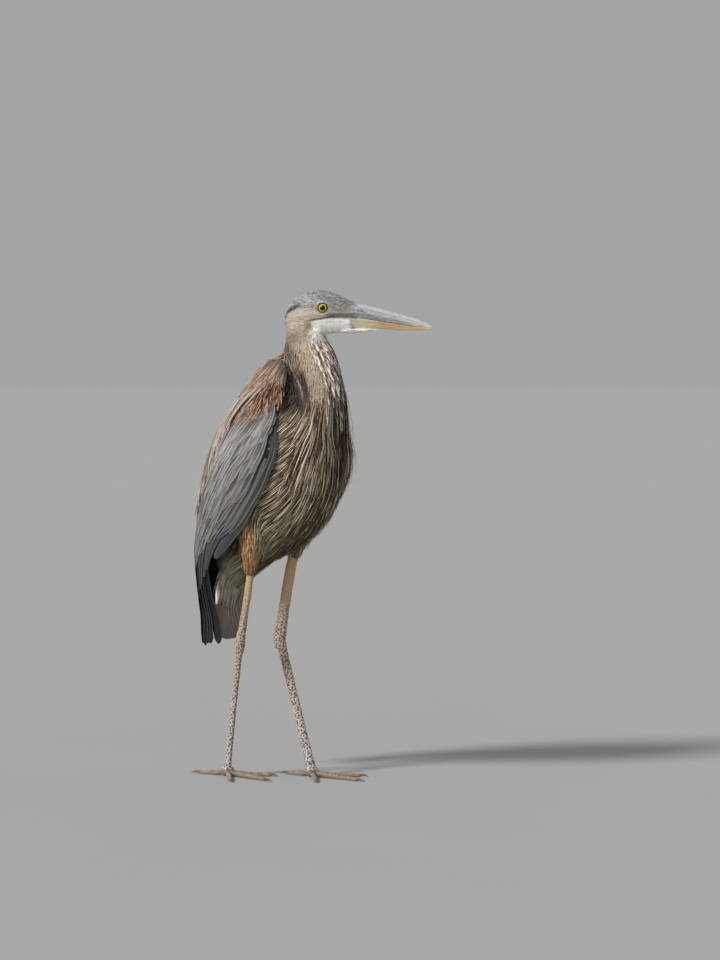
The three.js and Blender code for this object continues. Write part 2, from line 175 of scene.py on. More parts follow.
class Wire:
    """A shader node's output that takes part in arithmetic like a number."""

    def __init__(self, tree, socket):
        self.tree = tree
        self.socket = socket

    def maths(self, operation, *values):
        return node(self.tree, "ShaderNodeMath", {"operation": operation}, dict(enumerate(values)))

    def __add__(self, other):
        return self.maths("ADD", self, other)

    __radd__ = __add__

    def __sub__(self, other):
        return self.maths("SUBTRACT", self, other)

    def __rsub__(self, other):
        return self.maths("SUBTRACT", other, self)

    def __mul__(self, other):
        return self.maths("MULTIPLY", self, other)

    __rmul__ = __mul__

    def __abs__(self):
        return self.maths("ABSOLUTE", self)

    def most(self, other):
        return self.maths("MAXIMUM", self, other)

    def above(self, low, high):
        """0 below low, 1 above high and smooth between."""
        values = {"Value": self, "From Min": low, "From Max": high}
        return node(self.tree, "ShaderNodeMapRange", {"interpolation_type": "SMOOTHSTEP"}, values)


def opaque(colour):
    """A colour as a node's socket takes it. A wire stays as it is."""
    return colour if isinstance(colour, Wire) else (*[float(part) for part in colour], 1.0)


def node(tree, kind, settings, values, output=0):
    """Adds a node: its settings first, then its inputs as values or wires. Gives one output."""
    made = tree.nodes.new(kind)
    for name, setting in settings.items():
        if name == "stops":
            set_stops(made.color_ramp.elements, setting)
        else:
            setattr(made, name, setting)
    for name, value in values.items():
        if isinstance(value, Wire):
            tree.links.new(value.socket, made.inputs[name])
        else:
            made.inputs[name].default_value = value
    return Wire(tree, made.outputs[output])


def set_stops(elements, stops):
    while len(elements) < len(stops):
        elements.new(0.5)
    for element, (position, colour) in zip(elements, stops):
        element.position = position
        element.color = opaque(colour)


class Finish:
    """A material around one Principled surface."""

    def __init__(self, name, **fixed):
        self.material = bpy.data.materials.new(name)
        self.material.use_nodes = True
        self.tree = self.material.node_tree
        self.surface = next(n for n in self.tree.nodes if n.type == "BSDF_PRINCIPLED")
        for socket, value in fixed.items():
            self.surface.inputs[socket.replace("_", " ")].default_value = value

    def node(self, kind, values, output=0, **settings):
        return node(self.tree, kind, settings, values, output)

    def place(self):
        """Where on the model, in metres."""
        return self.node("ShaderNodeTexCoord", {}, "Object")

    def attribute(self, name):
        return self.node("ShaderNodeAttribute", {}, "Color", attribute_name=name)

    def vane(self):
        """The three numbers that say where on a feather, a horn or an eye a place is."""
        return self.parts(self.node("ShaderNodeAttribute", {}, "Vector", attribute_name="vane"))

    def parts(self, vector):
        return [self.node("ShaderNodeSeparateXYZ", {0: vector}, axis) for axis in "XYZ"]

    def join(self, x, y, z):
        return self.node("ShaderNodeCombineXYZ", {0: x, 1: y, 2: z})

    def noise(self, where, scale=1.0, detail=2.0, rough=0.5):
        values = {"Vector": where, "Scale": scale, "Detail": detail, "Roughness": rough}
        return self.node("ShaderNodeTexNoise", values, "Fac")

    def mix(self, part, first, second):
        """Each of the two is a colour or a wire."""
        values = {0: part, 6: opaque(first), 7: opaque(second)}
        return self.node("ShaderNodeMix", values, 2, data_type="RGBA")

    def shaded(self, colour, shade):
        """A colour made lighter or darker by a number."""
        values = {0: colour, 1: self.join(shade, shade, shade)}
        return self.node("ShaderNodeVectorMath", values, operation="MULTIPLY")

    def feed(self, socket, wire):
        self.tree.links.new(wire.socket, self.surface.inputs[socket])

    def dress(self, colour, roughness, height, strength, depth):
        """Feeds the surface its colour, how rough it is, if that varies, and its bumps."""
        self.feed("Base Color", colour)
        if roughness is not None:
            self.feed("Roughness", roughness)
        values = {"Strength": strength, "Distance": depth, "Height": height}
        self.feed("Normal", self.node("ShaderNodeBump", values, "Normal"))
        return self.material


# ---- Meshes ----


def placed(name, data):
    """A new object in the scene."""
    made = bpy.data.objects.new(name, data)
    bpy.context.scene.collection.objects.link(made)
    return made


def values_of(things, name, width, kind=float):
    """One value of every vertex, corner or triangle, in rows of that width."""
    values = np.zeros(len(things) * width, kind)
    things.foreach_get(name, values)
    return values.reshape(-1, width)


def sheet(index):
    """The faces between the rows and columns of a grid of points."""
    corners = [index[..., :-1, :-1], index[..., :-1, 1:], index[..., 1:, 1:], index[..., 1:, :-1]]
    return np.stack(corners, -1).reshape(-1, 4)


def tube(index):
    """The same with each row closed into a ring."""
    return sheet(np.c_[index, index[:, :1]])


class Shape:
    """Points in millimetres and faces of any number of corners, with values at each point."""

    def __init__(self):
        self.points = []
        self.corners = []
        self.sizes = []
        self.finishes = []
        self.ways = []
        self.values = {}
        self.count = 0

    def add(self, points, faces, finish=0, under=None, **values):
        """under is the index of the faces whose side is turned away from the values of lie."""
        points = np.asarray(points, float).reshape(-1, 3)
        for index, part in enumerate(faces):
            part = np.asarray(part, int)
            self.ways.append(np.full(part.size, -1.0 if index == under else 1.0))
            self.corners.append((part + self.count).ravel())
            self.sizes.append(np.full(len(part), part.shape[1]))
            self.finishes.append(np.full(len(part), finish))
        self.points.append(points)
        for name, value in values.items():
            width = 2 if name == "patch" else 3
            value = np.asarray(value, float).reshape(-1, width)
            self.values.setdefault(name, []).append(np.broadcast_to(value, (len(points), width)))
        self.count += len(points)

    def mesh(self, name, materials):
        corners = np.concatenate(self.corners)
        sizes = np.concatenate(self.sizes)
        mesh = bpy.data.meshes.new(name)

        def store(things, kind, attribute, numbers):
            things.foreach_set(attribute, numbers.astype(kind).ravel())

        mesh.vertices.add(self.count)
        mesh.loops.add(len(corners))
        mesh.polygons.add(len(sizes))
        store(mesh.vertices, np.float32, "co", np.concatenate(self.points) * MM)
        store(mesh.loops, np.int32, "vertex_index", corners)
        store(mesh.polygons, np.int32, "loop_start", np.cumsum(sizes) - sizes)
        for material in materials:
            mesh.materials.append(material)
        store(mesh.polygons, np.int32, "material_index", np.concatenate(self.finishes))
        store(mesh.polygons, bool, "use_smooth", np.ones(len(sizes)))
        mesh.update(calc_edges=True)
        for key, parts in self.values.items():
            data = np.concatenate(parts)
            if key == "patch":
                store(mesh.uv_layers.new(name="OFBake").uv, np.float32, "vector", data[corners])
            elif key == "lie":
                ways = np.concatenate(self.ways)
                mesh.normals_split_custom_set((unit(data)[corners] * ways[:, None]).tolist())
            elif key == "vane":
                layer = mesh.attributes.new(key, "FLOAT_VECTOR", "POINT")
                store(layer.data, np.float32, "vector", data)
            else:
                layer = mesh.attributes.new(key, "FLOAT_COLOR", "POINT")
                store(layer.data, np.float32, "color", np.c_[data, np.ones(len(data))])
        return mesh

    def piece(self, name, materials, slot, replaces=()):
        """Makes the object, which rides on the root body and may stand for some solids."""
        made = placed(name, self.mesh(name, materials))
        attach(made, "root")
        if replaces:
            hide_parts(*replaces)


def fused(nodes, voxel, rounds):
    """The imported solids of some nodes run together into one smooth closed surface."""
    gathered = Shape()
    for name in nodes:
        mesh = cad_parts[name].data
        mesh.calc_loop_triangles()
        corners = values_of(mesh.loop_triangles, "vertices", 3, np.int32)
        gathered.add(values_of(mesh.vertices, "co", 3) / MM, [corners])
    block = placed("block", gathered.mesh("block", []))
    remesh = block.modifiers.new("run together", "REMESH")
    remesh.mode = "VOXEL"
    remesh.voxel_size = voxel * MM
    smooth = block.modifiers.new("smooth", "SMOOTH")
    smooth.iterations = rounds
    smooth.factor = 0.5
    done = block.evaluated_get(bpy.context.evaluated_depsgraph_get()).to_mesh()
    points = values_of(done.vertices, "co", 3) / MM
    normals = values_of(done.vertex_normals, "vector", 3)
    faces = values_of(done.loops, "vertex_index", 1, np.int32).reshape(-1, 4)
    bpy.data.objects.remove(block)
    return points, normals, faces


class Surface:
    """A surface to lay feathers on."""

    def __init__(self, points, faces, beside=None):
        self.points = points
        self.faces = faces
        if beside:
            faces = np.concatenate([faces, beside.faces + len(points)])
            points = np.concatenate([points, beside.points])
        self.tree = BVHTree.FromPolygons(points.tolist(), faces.tolist())

    def settle(self, points):
        """The nearest places on the surface, and which way it faces there."""
        found = [self.tree.find_nearest(point)[:2] for point in points.tolist()]
        return np.array([place for place, _ in found]), np.array([normal for _, normal in found])

    def scatter(self, spacing, wanted, chance):
        """Places spread evenly over the part of the surface for which wanted(places) holds."""
        corners = self.points[self.faces]
        corners = corners[wanted(corners.mean(1))]
        edges = corners[:, 1:] - corners[:, :1]
        first = np.cross(edges[:, 0], edges[:, 1])
        second = np.cross(edges[:, 1], edges[:, 2])
        areas = (np.linalg.norm(first, axis=1) + np.linalg.norm(second, axis=1)) / 2
        count = int(areas.sum() / spacing**2 * 4)
        chosen = chance.choice(len(areas), count, p=areas / areas.sum())
        across, along = chance.random((2, count, 1))
        quad = corners[chosen]
        low = quad[:, 0] * (1 - across) + quad[:, 1] * across
        high = quad[:, 3] * (1 - across) + quad[:, 2] * across
        darts = low * (1 - along) + high * along
        return darts[spread(darts, spacing * 0.8)]


def spread(darts, least):
    """Picks darts that keep at least that distance from each other."""
    cells = np.floor(darts / least).astype(int).tolist()
    around = [(x, y, z) for x in (-1, 0, 1) for y in (-1, 0, 1) for z in (-1, 0, 1)]
    taken = {}
    kept = []
    for index, (dart, (x, y, z)) in enumerate(zip(darts.tolist(), cells)):
        near = (other for dx, dy, dz in around for other in taken.get((x + dx, y + dy, z + dz), ()))
        if all(math.dist(other, dart) >= least for other in near):
            taken.setdefault((x, y, z), []).append(dart)
            kept.append(index)
    return np.array(kept, int)


# ---- The bird's form ----

# Height, back, middle, front, half width and squareness of the flanks that the wings lie on.
FLANK = stations(
    [
        [203, -109, -97, -86, 14, 2.6],
        [216, -120, -89, -66, 27, 3],
        [240, -121, -82, -50, 36, 3.2],
        [270, -121, -76, -40, 43, 3.3],
        [300, -118, -62, -20, 54, 3.2],
        [328, -117, -46, 20, 66, 3],
        [361, -113, -33, 66, 73, 2.7],
        [384, -109, -24, 92, 75.5, 2.6],
        [410, -105, -16, 112, 77.5, 2.5],
        [438, -98.5, -10, 130, 78.5, 2.4],
        [470, -88.5, -4, 142, 78.5, 2.3],
        [500, -77.5, 2, 144, 76.5, 2.2],
        [530, -62.5, 8, 135, 72.5, 2.1],
        [555, -48.5, 16, 114, 67.5, 2.1],
        [580, -32.5, 22, 83, 60.5, 2.1],
        [605, -13.5, 30, 65, 48.5, 2.1],
        [628, 6, 38, 62, 33, 2],
    ]
)
# Height, angle of the folded wing's back edge and of its front edge, from the middle of the back.
WING_EDGES = stations(
    [
        [203, 40, 80],
        [212, 12, 92],
        [235, 2.4, 91],
        [270, 1.6, 91],
        [312, 1.4, 90],
        [339, 1.4, 95],
        [361, 1.4, 102],
        [384, 1.8, 103],
        [396, 2.4, 107],
        [410, 3.6, 112],
        [432, 6, 112],
        [462, 13, 119],
        [507, 26, 121.5],
        [547, 46, 123],
        [582, 76, 132],
        [604, 104, 122],
    ]
)
# Height and place forward of the neck's middle line, from the breast up.
NECK_LINE = stations(
    [[462, 86], [490, 101], [520, 110], [550, 112], [580, 108], [612, 97], [639, 81], [662, 66], [684, 60]]
)
# Height and place forward of the whole body's middle line, from the vent to the crown.
BODY_LINE = (
    [260, 300, 400, 500, 580, 612, 640, 662, 700, 733],
    [-88, -60, 0, 40, 75, 90, 81, 66, 75, 78],
)


def flank(side, height, angle, out):
    """A place on the flank, in the bird's frame."""
    back, mid, front, half, squareness = FLANK(height).T
    turn = angle * DEGREE
    ahead = -squared(np.cos(turn), squareness)
    aside = squared(np.sin(turn), squareness)
    reach = np.where(ahead > 0, front - mid, mid - back) + out
    return np.stack([mid + ahead * reach, SIDES[side] * aside * (half + out), height], -1)


def flank_angle(body):
    """The angle round the flank of places in the bird's frame."""
    back, mid, front, half, squareness = FLANK(body[:, 2]).T
    ahead = body[:, 0] - mid
    ahead = squared(ahead / np.where(ahead > 0, front - mid, mid - back), 4 / squareness)
    aside = squared(np.abs(body[:, 1]) / half, 4 / squareness)
    return np.arctan2(aside, -ahead) / DEGREE


class Spot:
    """Places on the bird in all the terms that its markings use."""

    def __init__(self, points):
        body = BODY.into(points)
        head = HEAD.into(points)
        self.ahead, self.aside, self.height = body.T
        self.along = head[:, 0]  # along the head
        self.down = CROWN - self.height
        self.fore = self.ahead - NECK_LINE(self.height)[:, 0]  # ahead of the neck's middle line
        self.to_eye = np.hypot(self.along - EYE[0], self.down - EYE[2])
        self.angle = flank_angle(body)
        self.on_head = fade(self.down, 66, 80)
        reach = np.hypot(self.fore / 40, self.aside / 34)
        self.on_neck = fade(reach, 1.0, 1.25) * (1 - self.on_head) * ease(self.height, 440, 475)
        right = self.ahead - np.interp(self.height, [300, 350, 390, 410], [-9, 4, 14, 19])
        left = self.ahead - np.interp(self.height, [330, 372, 410], [8, 17, 28])
        self.to_leg = np.minimum(leg_distance(right, -self.aside - 40), leg_distance(left, self.aside - 39))


def leg_distance(ahead, outward):
    """From a leg's middle line, counting places on its outer side as nearer."""
    return np.hypot(ahead, np.where(outward > 0, 0.3, 1.0) * outward)


def cap_line(along):
    """How far below the crown the grey cap ends."""
    return np.interp(along, [-16, -6, 5, 20, 32, 48, 81], [39, 33, 28, 26, 31, 33, 33])


def mouth_line(along):
    """How far below the crown the mouth runs."""
    return np.interp(along, [20, 38, 54, 67, 81], [46, 43, 40.5, 41, 42])


# ---- Markings ----

SLATE = paint(92, 95, 102)
PALE_SLATE = paint(200, 200, 202)
NIGHT = paint(52, 51, 50)
SHADE = paint(44, 38, 32)
PALE_SHADE = paint(84, 74, 62)
CREAM = paint(206, 190, 170)
BEIGE = paint(168, 148, 128)
CHALK = paint(253, 251, 245)
SNOW = paint(250, 245, 236)
SAGE_SHADE = paint(204, 201, 178)
OCHRE = paint(176, 144, 102)
TAUPE = paint(150, 134, 120)
PALE_TAUPE = paint(190, 174, 158)
UMBER = paint(84, 71, 63)
PALE_UMBER = paint(100, 85, 74)
SEPIA = paint(72, 59, 48)
BUFF = paint(196, 178, 152)
OLIVE = paint(86, 77, 54)
STRAW = paint(190, 178, 142)
CHESTNUT = paint(156, 116, 90)
RUST = paint(170, 112, 68)
PALE_RUST = paint(214, 172, 128)
DARK_RUST = paint(104, 64, 40)
MANTLE = paint(158, 141, 124)
MANTLE_EDGE = paint(200, 184, 166)
VENT = paint(158, 153, 133)
VENT_PALE = paint(186, 181, 162)
LORE = paint(188, 180, 152)
EYE_RIM = paint(214, 210, 204)
PALE_EDGE = paint(176, 174, 172)


def mottle(points, size):
    """A smooth wandering pattern from -1 to 1, with patches of about that size."""
    x, y, z = (points * (2 / size)).T
    first = np.sin(x + 1.7 * np.sin(0.7 * y + 0.31 * z)) * np.sin(0.9 * z + 1.3 * np.sin(0.6 * x))
    second = np.sin(1.3 * y + 1.9 * np.sin(0.5 * z + 0.4 * x))
    return 0.6 * first + 0.4 * second


def stripes(spot):
    """Long streaks down the foreneck: -1 in the dark ones and 1 in the pale ones."""
    turn = np.arctan2(spot.aside, spot.fore + 14)
    wave = np.sin(turn * 34 + 2.4 * np.sin(spot.height / 37) + 0.9 * np.sin(spot.height / 14))
    wave = wave + 0.8 * np.sin(turn * 55 + 2.7 * np.sin(spot.height / 23 + 1))
    return np.clip(wave, -1, 1)


def thigh_part(spot):
    """1 on the rust outer side of each thigh."""
    near = fade(spot.to_leg, 13.5, 17) * fade(spot.height, 396, 410) * ease(spot.height, 296, 300)
    return near * np.where(spot.aside < 0, ease(-spot.aside, 26, 38), ease(spot.aside, 44, 56))


class Markings:
    """The colour of each feather at some places, and of the streak along its shaft."""

    def __init__(self, points, chance):
        self.points = points
        self.spot = Spot(points)
        self.luck = chance.random(len(points))
        self.dice = chance.random(len(points))
        self.vane = np.tile(TAUPE, (len(points), 1))
        self.streak = np.tile(PALE_TAUPE, (len(points), 1))
        self.trunk()
        self.neck()
        self.thighs()
        self.chin = self.head()
        self.face()
        # no two feathers are quite alike, and the chin's are painted brighter, as light on it
        tone = (0.84 + 0.32 * chance.random(len(points)) + 0.3 * self.chin)[:, None]
        tone = tone * (1 + 0.22 * mottle(points, 15) * (1 - self.spot.on_head))[:, None]
        self.vane = self.vane * tone
        self.streak = self.streak * (0.85 + 0.3 * chance.random(len(points)))[:, None]

    def lay(self, vane, streak, part):
        self.vane = blend(self.vane, vane, part)
        self.streak = blend(self.streak, streak, part)

    def trunk(self):
        """From the back round to the breast and down to the vent."""
        spot, height, angle = self.spot, self.spot.height, self.spot.angle
        self.lay(MANTLE, MANTLE_EDGE, 1 - spot.on_neck)
        front = ease(angle, 95, 125)
        self.lay(SEPIA, BUFF, front * fade(height, 520, 585) * (1 - 0.3 * spot.on_neck))
        self.lay(OLIVE, STRAW, fade(height, 420, 480) * ease(angle, 80, 110))
        self.lay(BUFF, CREAM, 0.75 * (self.luck < 0.26) * front * fade(height, 500, 570))
        self.lay(VENT, VENT_PALE, fade(height, 335, 375) * fade(spot.ahead, -50, -28))
        # painted shade: the breast's middle and its sides are darkened, as they are turned from the light
        deep = 0.3 * ease(angle, 135, 168) * fade(height, 520, 575)
        deep = deep + 0.3 * ease(angle, 166, 177) * fade(height, 540, 590)
        deep = deep + 0.26 * band(angle, 100, 150, 10) * band(height, 400, 555, 20)
        self.lay(0 * SEPIA, 0 * SEPIA, deep)
        # in shade under the wing's front edge
        tucked = fade(angle - WING_EDGES(height)[:, 1], -5, 5) * band(height, 330, 400, 12)
        self.lay(SHADE, PALE_SHADE, 0.75 * tucked * (1 - thigh_part(spot)))

    def neck(self):
        """The pale top, the hollow behind the bend in dark brown feathers and painted shade, the nape and the
        streaked front.
        """
        spot, height, fore = self.spot, self.spot.height, self.spot.fore
        self.lay(BEIGE, CREAM, spot.on_neck * ease(height, 585, 650))
        # the hollow behind the bend: dark brown feathers, darkened further as painted shade
        hollow = band(height, 554, 620, 7) * ease(spot.ahead, 46, 60) * ease(np.abs(spot.aside), 12, 22)
        self.lay(UMBER * 0.75, PALE_UMBER, 0.95 * hollow * fade(fore, -10, -3))
        nape = spot.on_neck * ease(height, 600, 640) * fade(fore, -18, -2)
        self.lay(BEIGE * 0.58, BEIGE * 0.9, 0.85 * nape)
        front = ease(fore, 13, 30) * spot.on_neck * ease(height, 470, 560)
        front = front * (1 - 0.7 * ease(height, 645, 662))
        bias = 0.75 + 0.3 * fade(height, 570, 640)
        pale = ease(0.55 * stripes(spot) + 1.5 * self.luck - bias, -0.4, 0.5)
        streaked = blend(SEPIA * 0.6, SNOW, pale)
        streaked = np.where(((self.dice > 0.85) & (height > 560))[:, None], CHESTNUT, streaked)
        self.lay(streaked, streaked, front * 0.88)

    def thighs(self):
        """Rust, but for the inner side of each."""
        clump = (self.luck + 0.3 * mottle(self.points, 9))[:, None]
        rust = np.where(clump < 0.3, DARK_RUST, np.where(clump > 0.62, PALE_RUST * 0.9, RUST * 0.85))
        rust = rust * (1.08 - 0.5 * fade(self.spot.height, 320, 360))[:, None]
        self.lay(rust, PALE_RUST * 0.7 + 0.3 * rust, thigh_part(self.spot))

    def head(self):
        """The grey cap, the buff nape, the pale cheek and the white chin, whose part it gives."""
        down, along, on_head = self.spot.down, self.spot.along, self.spot.on_head
        self.lay(BEIGE * 0.9, CREAM * 0.85, on_head)
        cheek = on_head * ease(along, -20, 2) * (1 - 0.8 * ease(down, 48, 66))
        self.lay(CREAM, CHALK, cheek * 0.7)
        self.lay(BEIGE * 0.6, BEIGE * 0.92, 0.85 * on_head * ease(down, 54, 70) * fade(along, 6, 18))
        self.lay(OCHRE * 0.8, BEIGE, 0.6 * on_head * band(along, 15, 25, 4) * band(down, 47, 66, 5))
        chin = on_head * ease(down - mouth_line(along), 1, 3) * ease(along, 23, 29)
        self.lay(CHALK, CHALK, chin)
        # painted shade: the chin's lower edge greyed towards greenish grey
        self.lay(SAGE_SHADE, CHALK, 0.5 * chin * ease(down, 58, 66))
        cap = on_head * fade(down - cap_line(along), -2.5, 2.5)
        speckle = np.where((self.dice < 0.5)[:, None], SLATE, PALE_SLATE * 0.86)
        self.lay(speckle, PALE_SLATE, cap)
        rim = cap * fade(cap_line(along) - down, 4, 10) * fade(along, 2, 16)
        self.lay(NIGHT, SLATE * 0.8, rim * 0.92)
        return chin

    def face(self):
        """The bare lore with its dark stripe, the dark line of the mouth and the ring round the eye."""
        down, along, on_head = self.spot.down, self.spot.along, self.spot.on_head
        lore = on_head * band(along, 48, 90, 5) * band(down, 25, 33, 3)
        self.lay(LORE, CREAM * 0.8, lore * (0.25 + 0.6 * self.luck))
        stripe = on_head * band(along, 47, 95, 6) * band(down, 35, 41.5, 1.6)
        self.lay(SLATE * 0.6, PALE_SLATE * 0.5, stripe * 0.8)
        gape = on_head * band(along, 22, 60, 4) * fade(np.abs(down - mouth_line(along)), 0.6, 2.0)
        self.lay(NIGHT, SLATE, gape * 0.7)
        self.lay(EYE_RIM, CHALK, 0.8 * on_head * fade(self.spot.to_eye, 9.0, 11.5))


# ---- Which way the coat lies ----


def coat_flow(points):
    """The direction the feathers point in, before it is laid on the surface."""
    spot = Spot(points)
    level = 0 * spot.height
    back = np.interp(spot.angle, [0, 60, 100, 125, 150, 180], [0.5, 0.45, 0.7, 0.62, 0.25, 0.0])
    side = band(spot.angle, 90, 138, 22) * band(spot.height, 400, 530, 40)
    low = fade(spot.height, 380, 470)
    back = back + 0.85 * side + 1.1 * low * ease(spot.angle, 70, 120)
    trunk = unit(np.stack([-back, level, level - 1], -1))
    slope = (NECK_LINE(spot.height + 4) - NECK_LINE(spot.height - 4))[:, 0] / 8
    neck = unit(np.stack([-slope, level, level - 1], -1))
    flow = BODY.turned(blend(trunk, neck, spot.on_neck))
    leg = fade(spot.to_leg, 20, 30) * fade(spot.height, 395, 425)
    flow = blend(flow, BODY.turned([-0.2, 0, -1]), leg)
    drop = 0.1 + 0.55 * ease(spot.down, 40, 66) * fade(spot.along, 25, 50) + 1.6 * ease(-spot.along, 6, 26)
    head = unit(HEAD.turned(np.stack([level - 1, level, -drop], -1)))
    return unit(blend(flow, head, spot.on_head))


# ---- Feathers ----


def lay_lines(surface, roots, lengths, steps, flow, depth, loose=0):
    """Runs a line from each root over the surface. Each rises through the coat to its tip.

    loose tells how far a line's outer half hangs straight instead of hugging the body."""
    place, normal = surface.settle(roots)
    line, facing = [], []
    heading = 0
    for part in np.linspace(0, 1, steps + 1):
        rise = depth * (0.12 + 0.88 * part**0.8)
        line.append(place + normal * rise[:, None])
        facing.append(normal)
        wanted = flow(place)
        along = unit(wanted - normal * (wanted * normal).sum(1, keepdims=True))
        heading = unit(along + 0.35 * heading)
        ahead = place + heading * (lengths / steps)[:, None]
        found, turned = surface.settle(ahead)
        place = blend(found, ahead, loose * ease(part, 0.3, 1.0) + 0 * lengths)
        normal = unit(normal * 0.4 + turned)
    return np.stack(line, 1), np.stack(facing, 1)


# How far across a vane its points lie, and how high its crown stands at each.
SMALL = ([-1, 0, 1], [0, 1, 0])
BROAD = ([-1, -0.72, -0.3, 0, 0.3, 0.72, 1], [0, 0.75, 0.86, 1, 0.86, 0.75, 0])
SMALL_PATCH = 0.003  # size of a small feather's patch on the map
BARB_SHIFT = 41.0  # how far apart the patterns of neighbouring feathers lie
BARB_SETS = 97


def taper(steps, root, widest, tip):
    """Half width along a feather: from its root to its widest place and in to its tip."""
    part = np.linspace(0, 1, steps + 1)
    swell = root + (1 - root) * ease(part, 0, widest)
    close = np.clip((part - widest) / (1 - widest), 0, 1)
    return swell * (1 - (1 - tip) * close**2.2)


def add_feathers(
    shape,
    line,
    facing,
    colours,
    streaks,
    patches,
    wide,
    form,
    thick,
    size=SMALL_PATCH,
    cross=SMALL,
    bend=0.55,
):
    """Adds closed thin vanes along lines.

    form is how they taper, patches their places on the map and bend how far their look bends across."""
    count, rings, _ = line.shape
    across, crown = np.array(cross, float)
    grid = (count, rings, len(across))
    half = (wide / 2 * np.ones(count))[:, None] * taper(rings - 1, *form)
    along = unit(np.gradient(line, axis=1))
    side = unit(np.cross(along, facing))
    up = np.cross(side, along)
    thick = (thick * np.ones(count))[:, None, None, None]
    points = line[:, :, None] + side[:, :, None] * (half[:, :, None, None] * across[:, None])
    points = points + up[:, :, None] * (thick * crown[:, None])
    part = np.linspace(0, 1, rings)[:, None]
    bow = part**8 * across**2
    points = points - along[:, :, None] * (bow * half[:, :, None])[..., None]
    lie = up[:, :, None] + side[:, :, None] * (across[:, None] * bend)
    index = np.arange(math.prod(grid)).reshape(grid)
    edges = [index[:, :-1, 0], index[:, 1:, 0], index[:, 1:, -1], index[:, :-1, -1]]
    under = np.stack(edges, -1).reshape(-1, 4)
    root = np.roll(index[:, 0, ::-1], 1, axis=1)
    length = np.linalg.norm(np.diff(line, axis=1), axis=2).sum(1)
    barb = length[:, None, None] * part - 0.8 * half[:, :, None] * np.abs(across)
    barb = barb + (np.arange(count) % BARB_SETS)[:, None, None] * BARB_SHIFT
    vane = np.stack([np.broadcast_to(across, grid), np.broadcast_to(part, grid), barb], -1)
    patch = patches[:, None, None] + (vane[..., :2] * [0.5, 1] - [0, 0.5]) * np.asarray(size)

    def everywhere(values):
        values = np.asarray(values, float)
        values = values[:, None] if values.ndim == 2 else values
        return np.broadcast_to(values[:, :, None], (*grid, 3))

    faces = [sheet(index), under, root, index[:, -1]]
    colours, streaks = everywhere(colours), everywhere(streaks)
    shape.add(points, faces, 0, 1, plumage=colours, marking=streaks, vane=vane, patch=patch, lie=lie)


def on_map(across, along):
    """Places on the map, kept off its rim."""
    return 0.01 + 0.98 * np.stack([across, along], -1)


def unwrapped(points):
    """Places on an unwrap of the body round its middle line."""
    body = BODY.into(points)
    turn = np.arctan2(body[:, 1], body[:, 0] - np.interp(body[:, 2], *BODY_LINE))
    return on_map(spanned(turn), spanned(body[:, 2]))


# ---- Settings ----


def swatch(name, description, default):
    return bpy.props.FloatVectorProperty(
        name=name, description=description, default=default, size=3, subtype="COLOR"
    )


class HeronPlumage(bpy.types.PropertyGroup):
    """How fine, long and varied the coat is."""

    fineness: bpy.props.FloatProperty(
        name="Spacing",
        description="Distance between small feathers, as a part of the natural one",
        default=1.0,
        min=0.6,
        max=4.0,
    )
    length: bpy.props.FloatProperty(
        name="Length",
        description="Length of the small feathers, as a part of the natural one",
        default=1.0,
        min=0.5,
        max=1.5,
    )
    streaks: bpy.props.FloatProperty(
        name="Streaks",
        description="How plainly the shafts show as streaks",
        default=0.8,
        min=0.0,
        max=1.0,
        subtype="FACTOR",
    )
    seed: bpy.props.IntProperty(name="Seed", description="Start of the random numbers", default=11, min=0)


class HeronBareParts(bpy.types.PropertyGroup):
    """Colours of the horn, the eyes and the scaled skin."""

    iris: swatch("Iris", "Colour of the iris", paint(238, 200, 30))
    upper_bill: swatch("Upper bill", "Colour of the upper half of the bill", paint(150, 156, 160))
    lower_bill: swatch("Lower bill", "Colour of the lower half of the bill", paint(214, 164, 92))
    shin: swatch("Shin", "Colour of the bare shin", paint(206, 176, 132))
    foot: swatch("Foot", "Colour of the feet", paint(146, 130, 118))


class HeronStage(bpy.types.PropertyGroup):
    """The camera, the floor and the lamps."""

    distance: bpy.props.FloatProperty(
        name="Distance", description="From the camera to the bird", default=6.0, min=1.0, unit="LENGTH"
    )
    elevation: bpy.props.FloatProperty(
        name="Elevation", description="How far the camera looks down", default=3 * DEGREE, subtype="ANGLE"
    )
    view_height: bpy.props.FloatProperty(
        name="View height", description="Height of the view at the bird", default=1.44, min=0.1, unit="LENGTH"
    )
    key: bpy.props.FloatProperty(
        name="Key light",
        description="Strength of the main light in watts per square metre",
        default=2.85,
        min=0.0,
    )
    fill: bpy.props.FloatProperty(
        name="Fill light",
        description="Strength of the soft light in watts per square metre",
        default=0.5,
        min=0.0,
    )
    room: bpy.props.FloatProperty(
        name="Room", description="Brightness of the room round the bird", default=0.38, min=0.0
    )
    floor: swatch("Floor", "Colour of the floor", (0.41, 0.412, 0.412))


# ---- Finishes ----


def plume_finish(name, streaks, root=0.3):
    """Loose body feathers: a streak down the shaft, fine barbs, and the root darkened as painted shade
    between the feathers.
    """
    finish = Finish(name, Roughness=0.85, Specular_IOR_Level=0.2)
    across, along, barb = finish.vane()
    colour = finish.attribute("plumage")
    streak = finish.attribute("marking")
    shaft = (1 - abs(across).above(0.1, 0.62)) * along.above(0.05, 0.4) * streaks
    barbs = finish.noise(finish.join(barb * 1.3, across * 3.0, along), rough=0.6)
    colour = finish.mix(shaft, colour, streak)
    # painted shade: each feather darker towards its root, where the feathers over it shade it
    shade = (0.75 + 0.5 * barbs) * (root + (1 - root) * along.above(0.15, 0.85))
    return finish.dress(finish.shaded(colour, shade), 0.72 + 0.25 * barbs, barbs, 0.4, 0.0004)


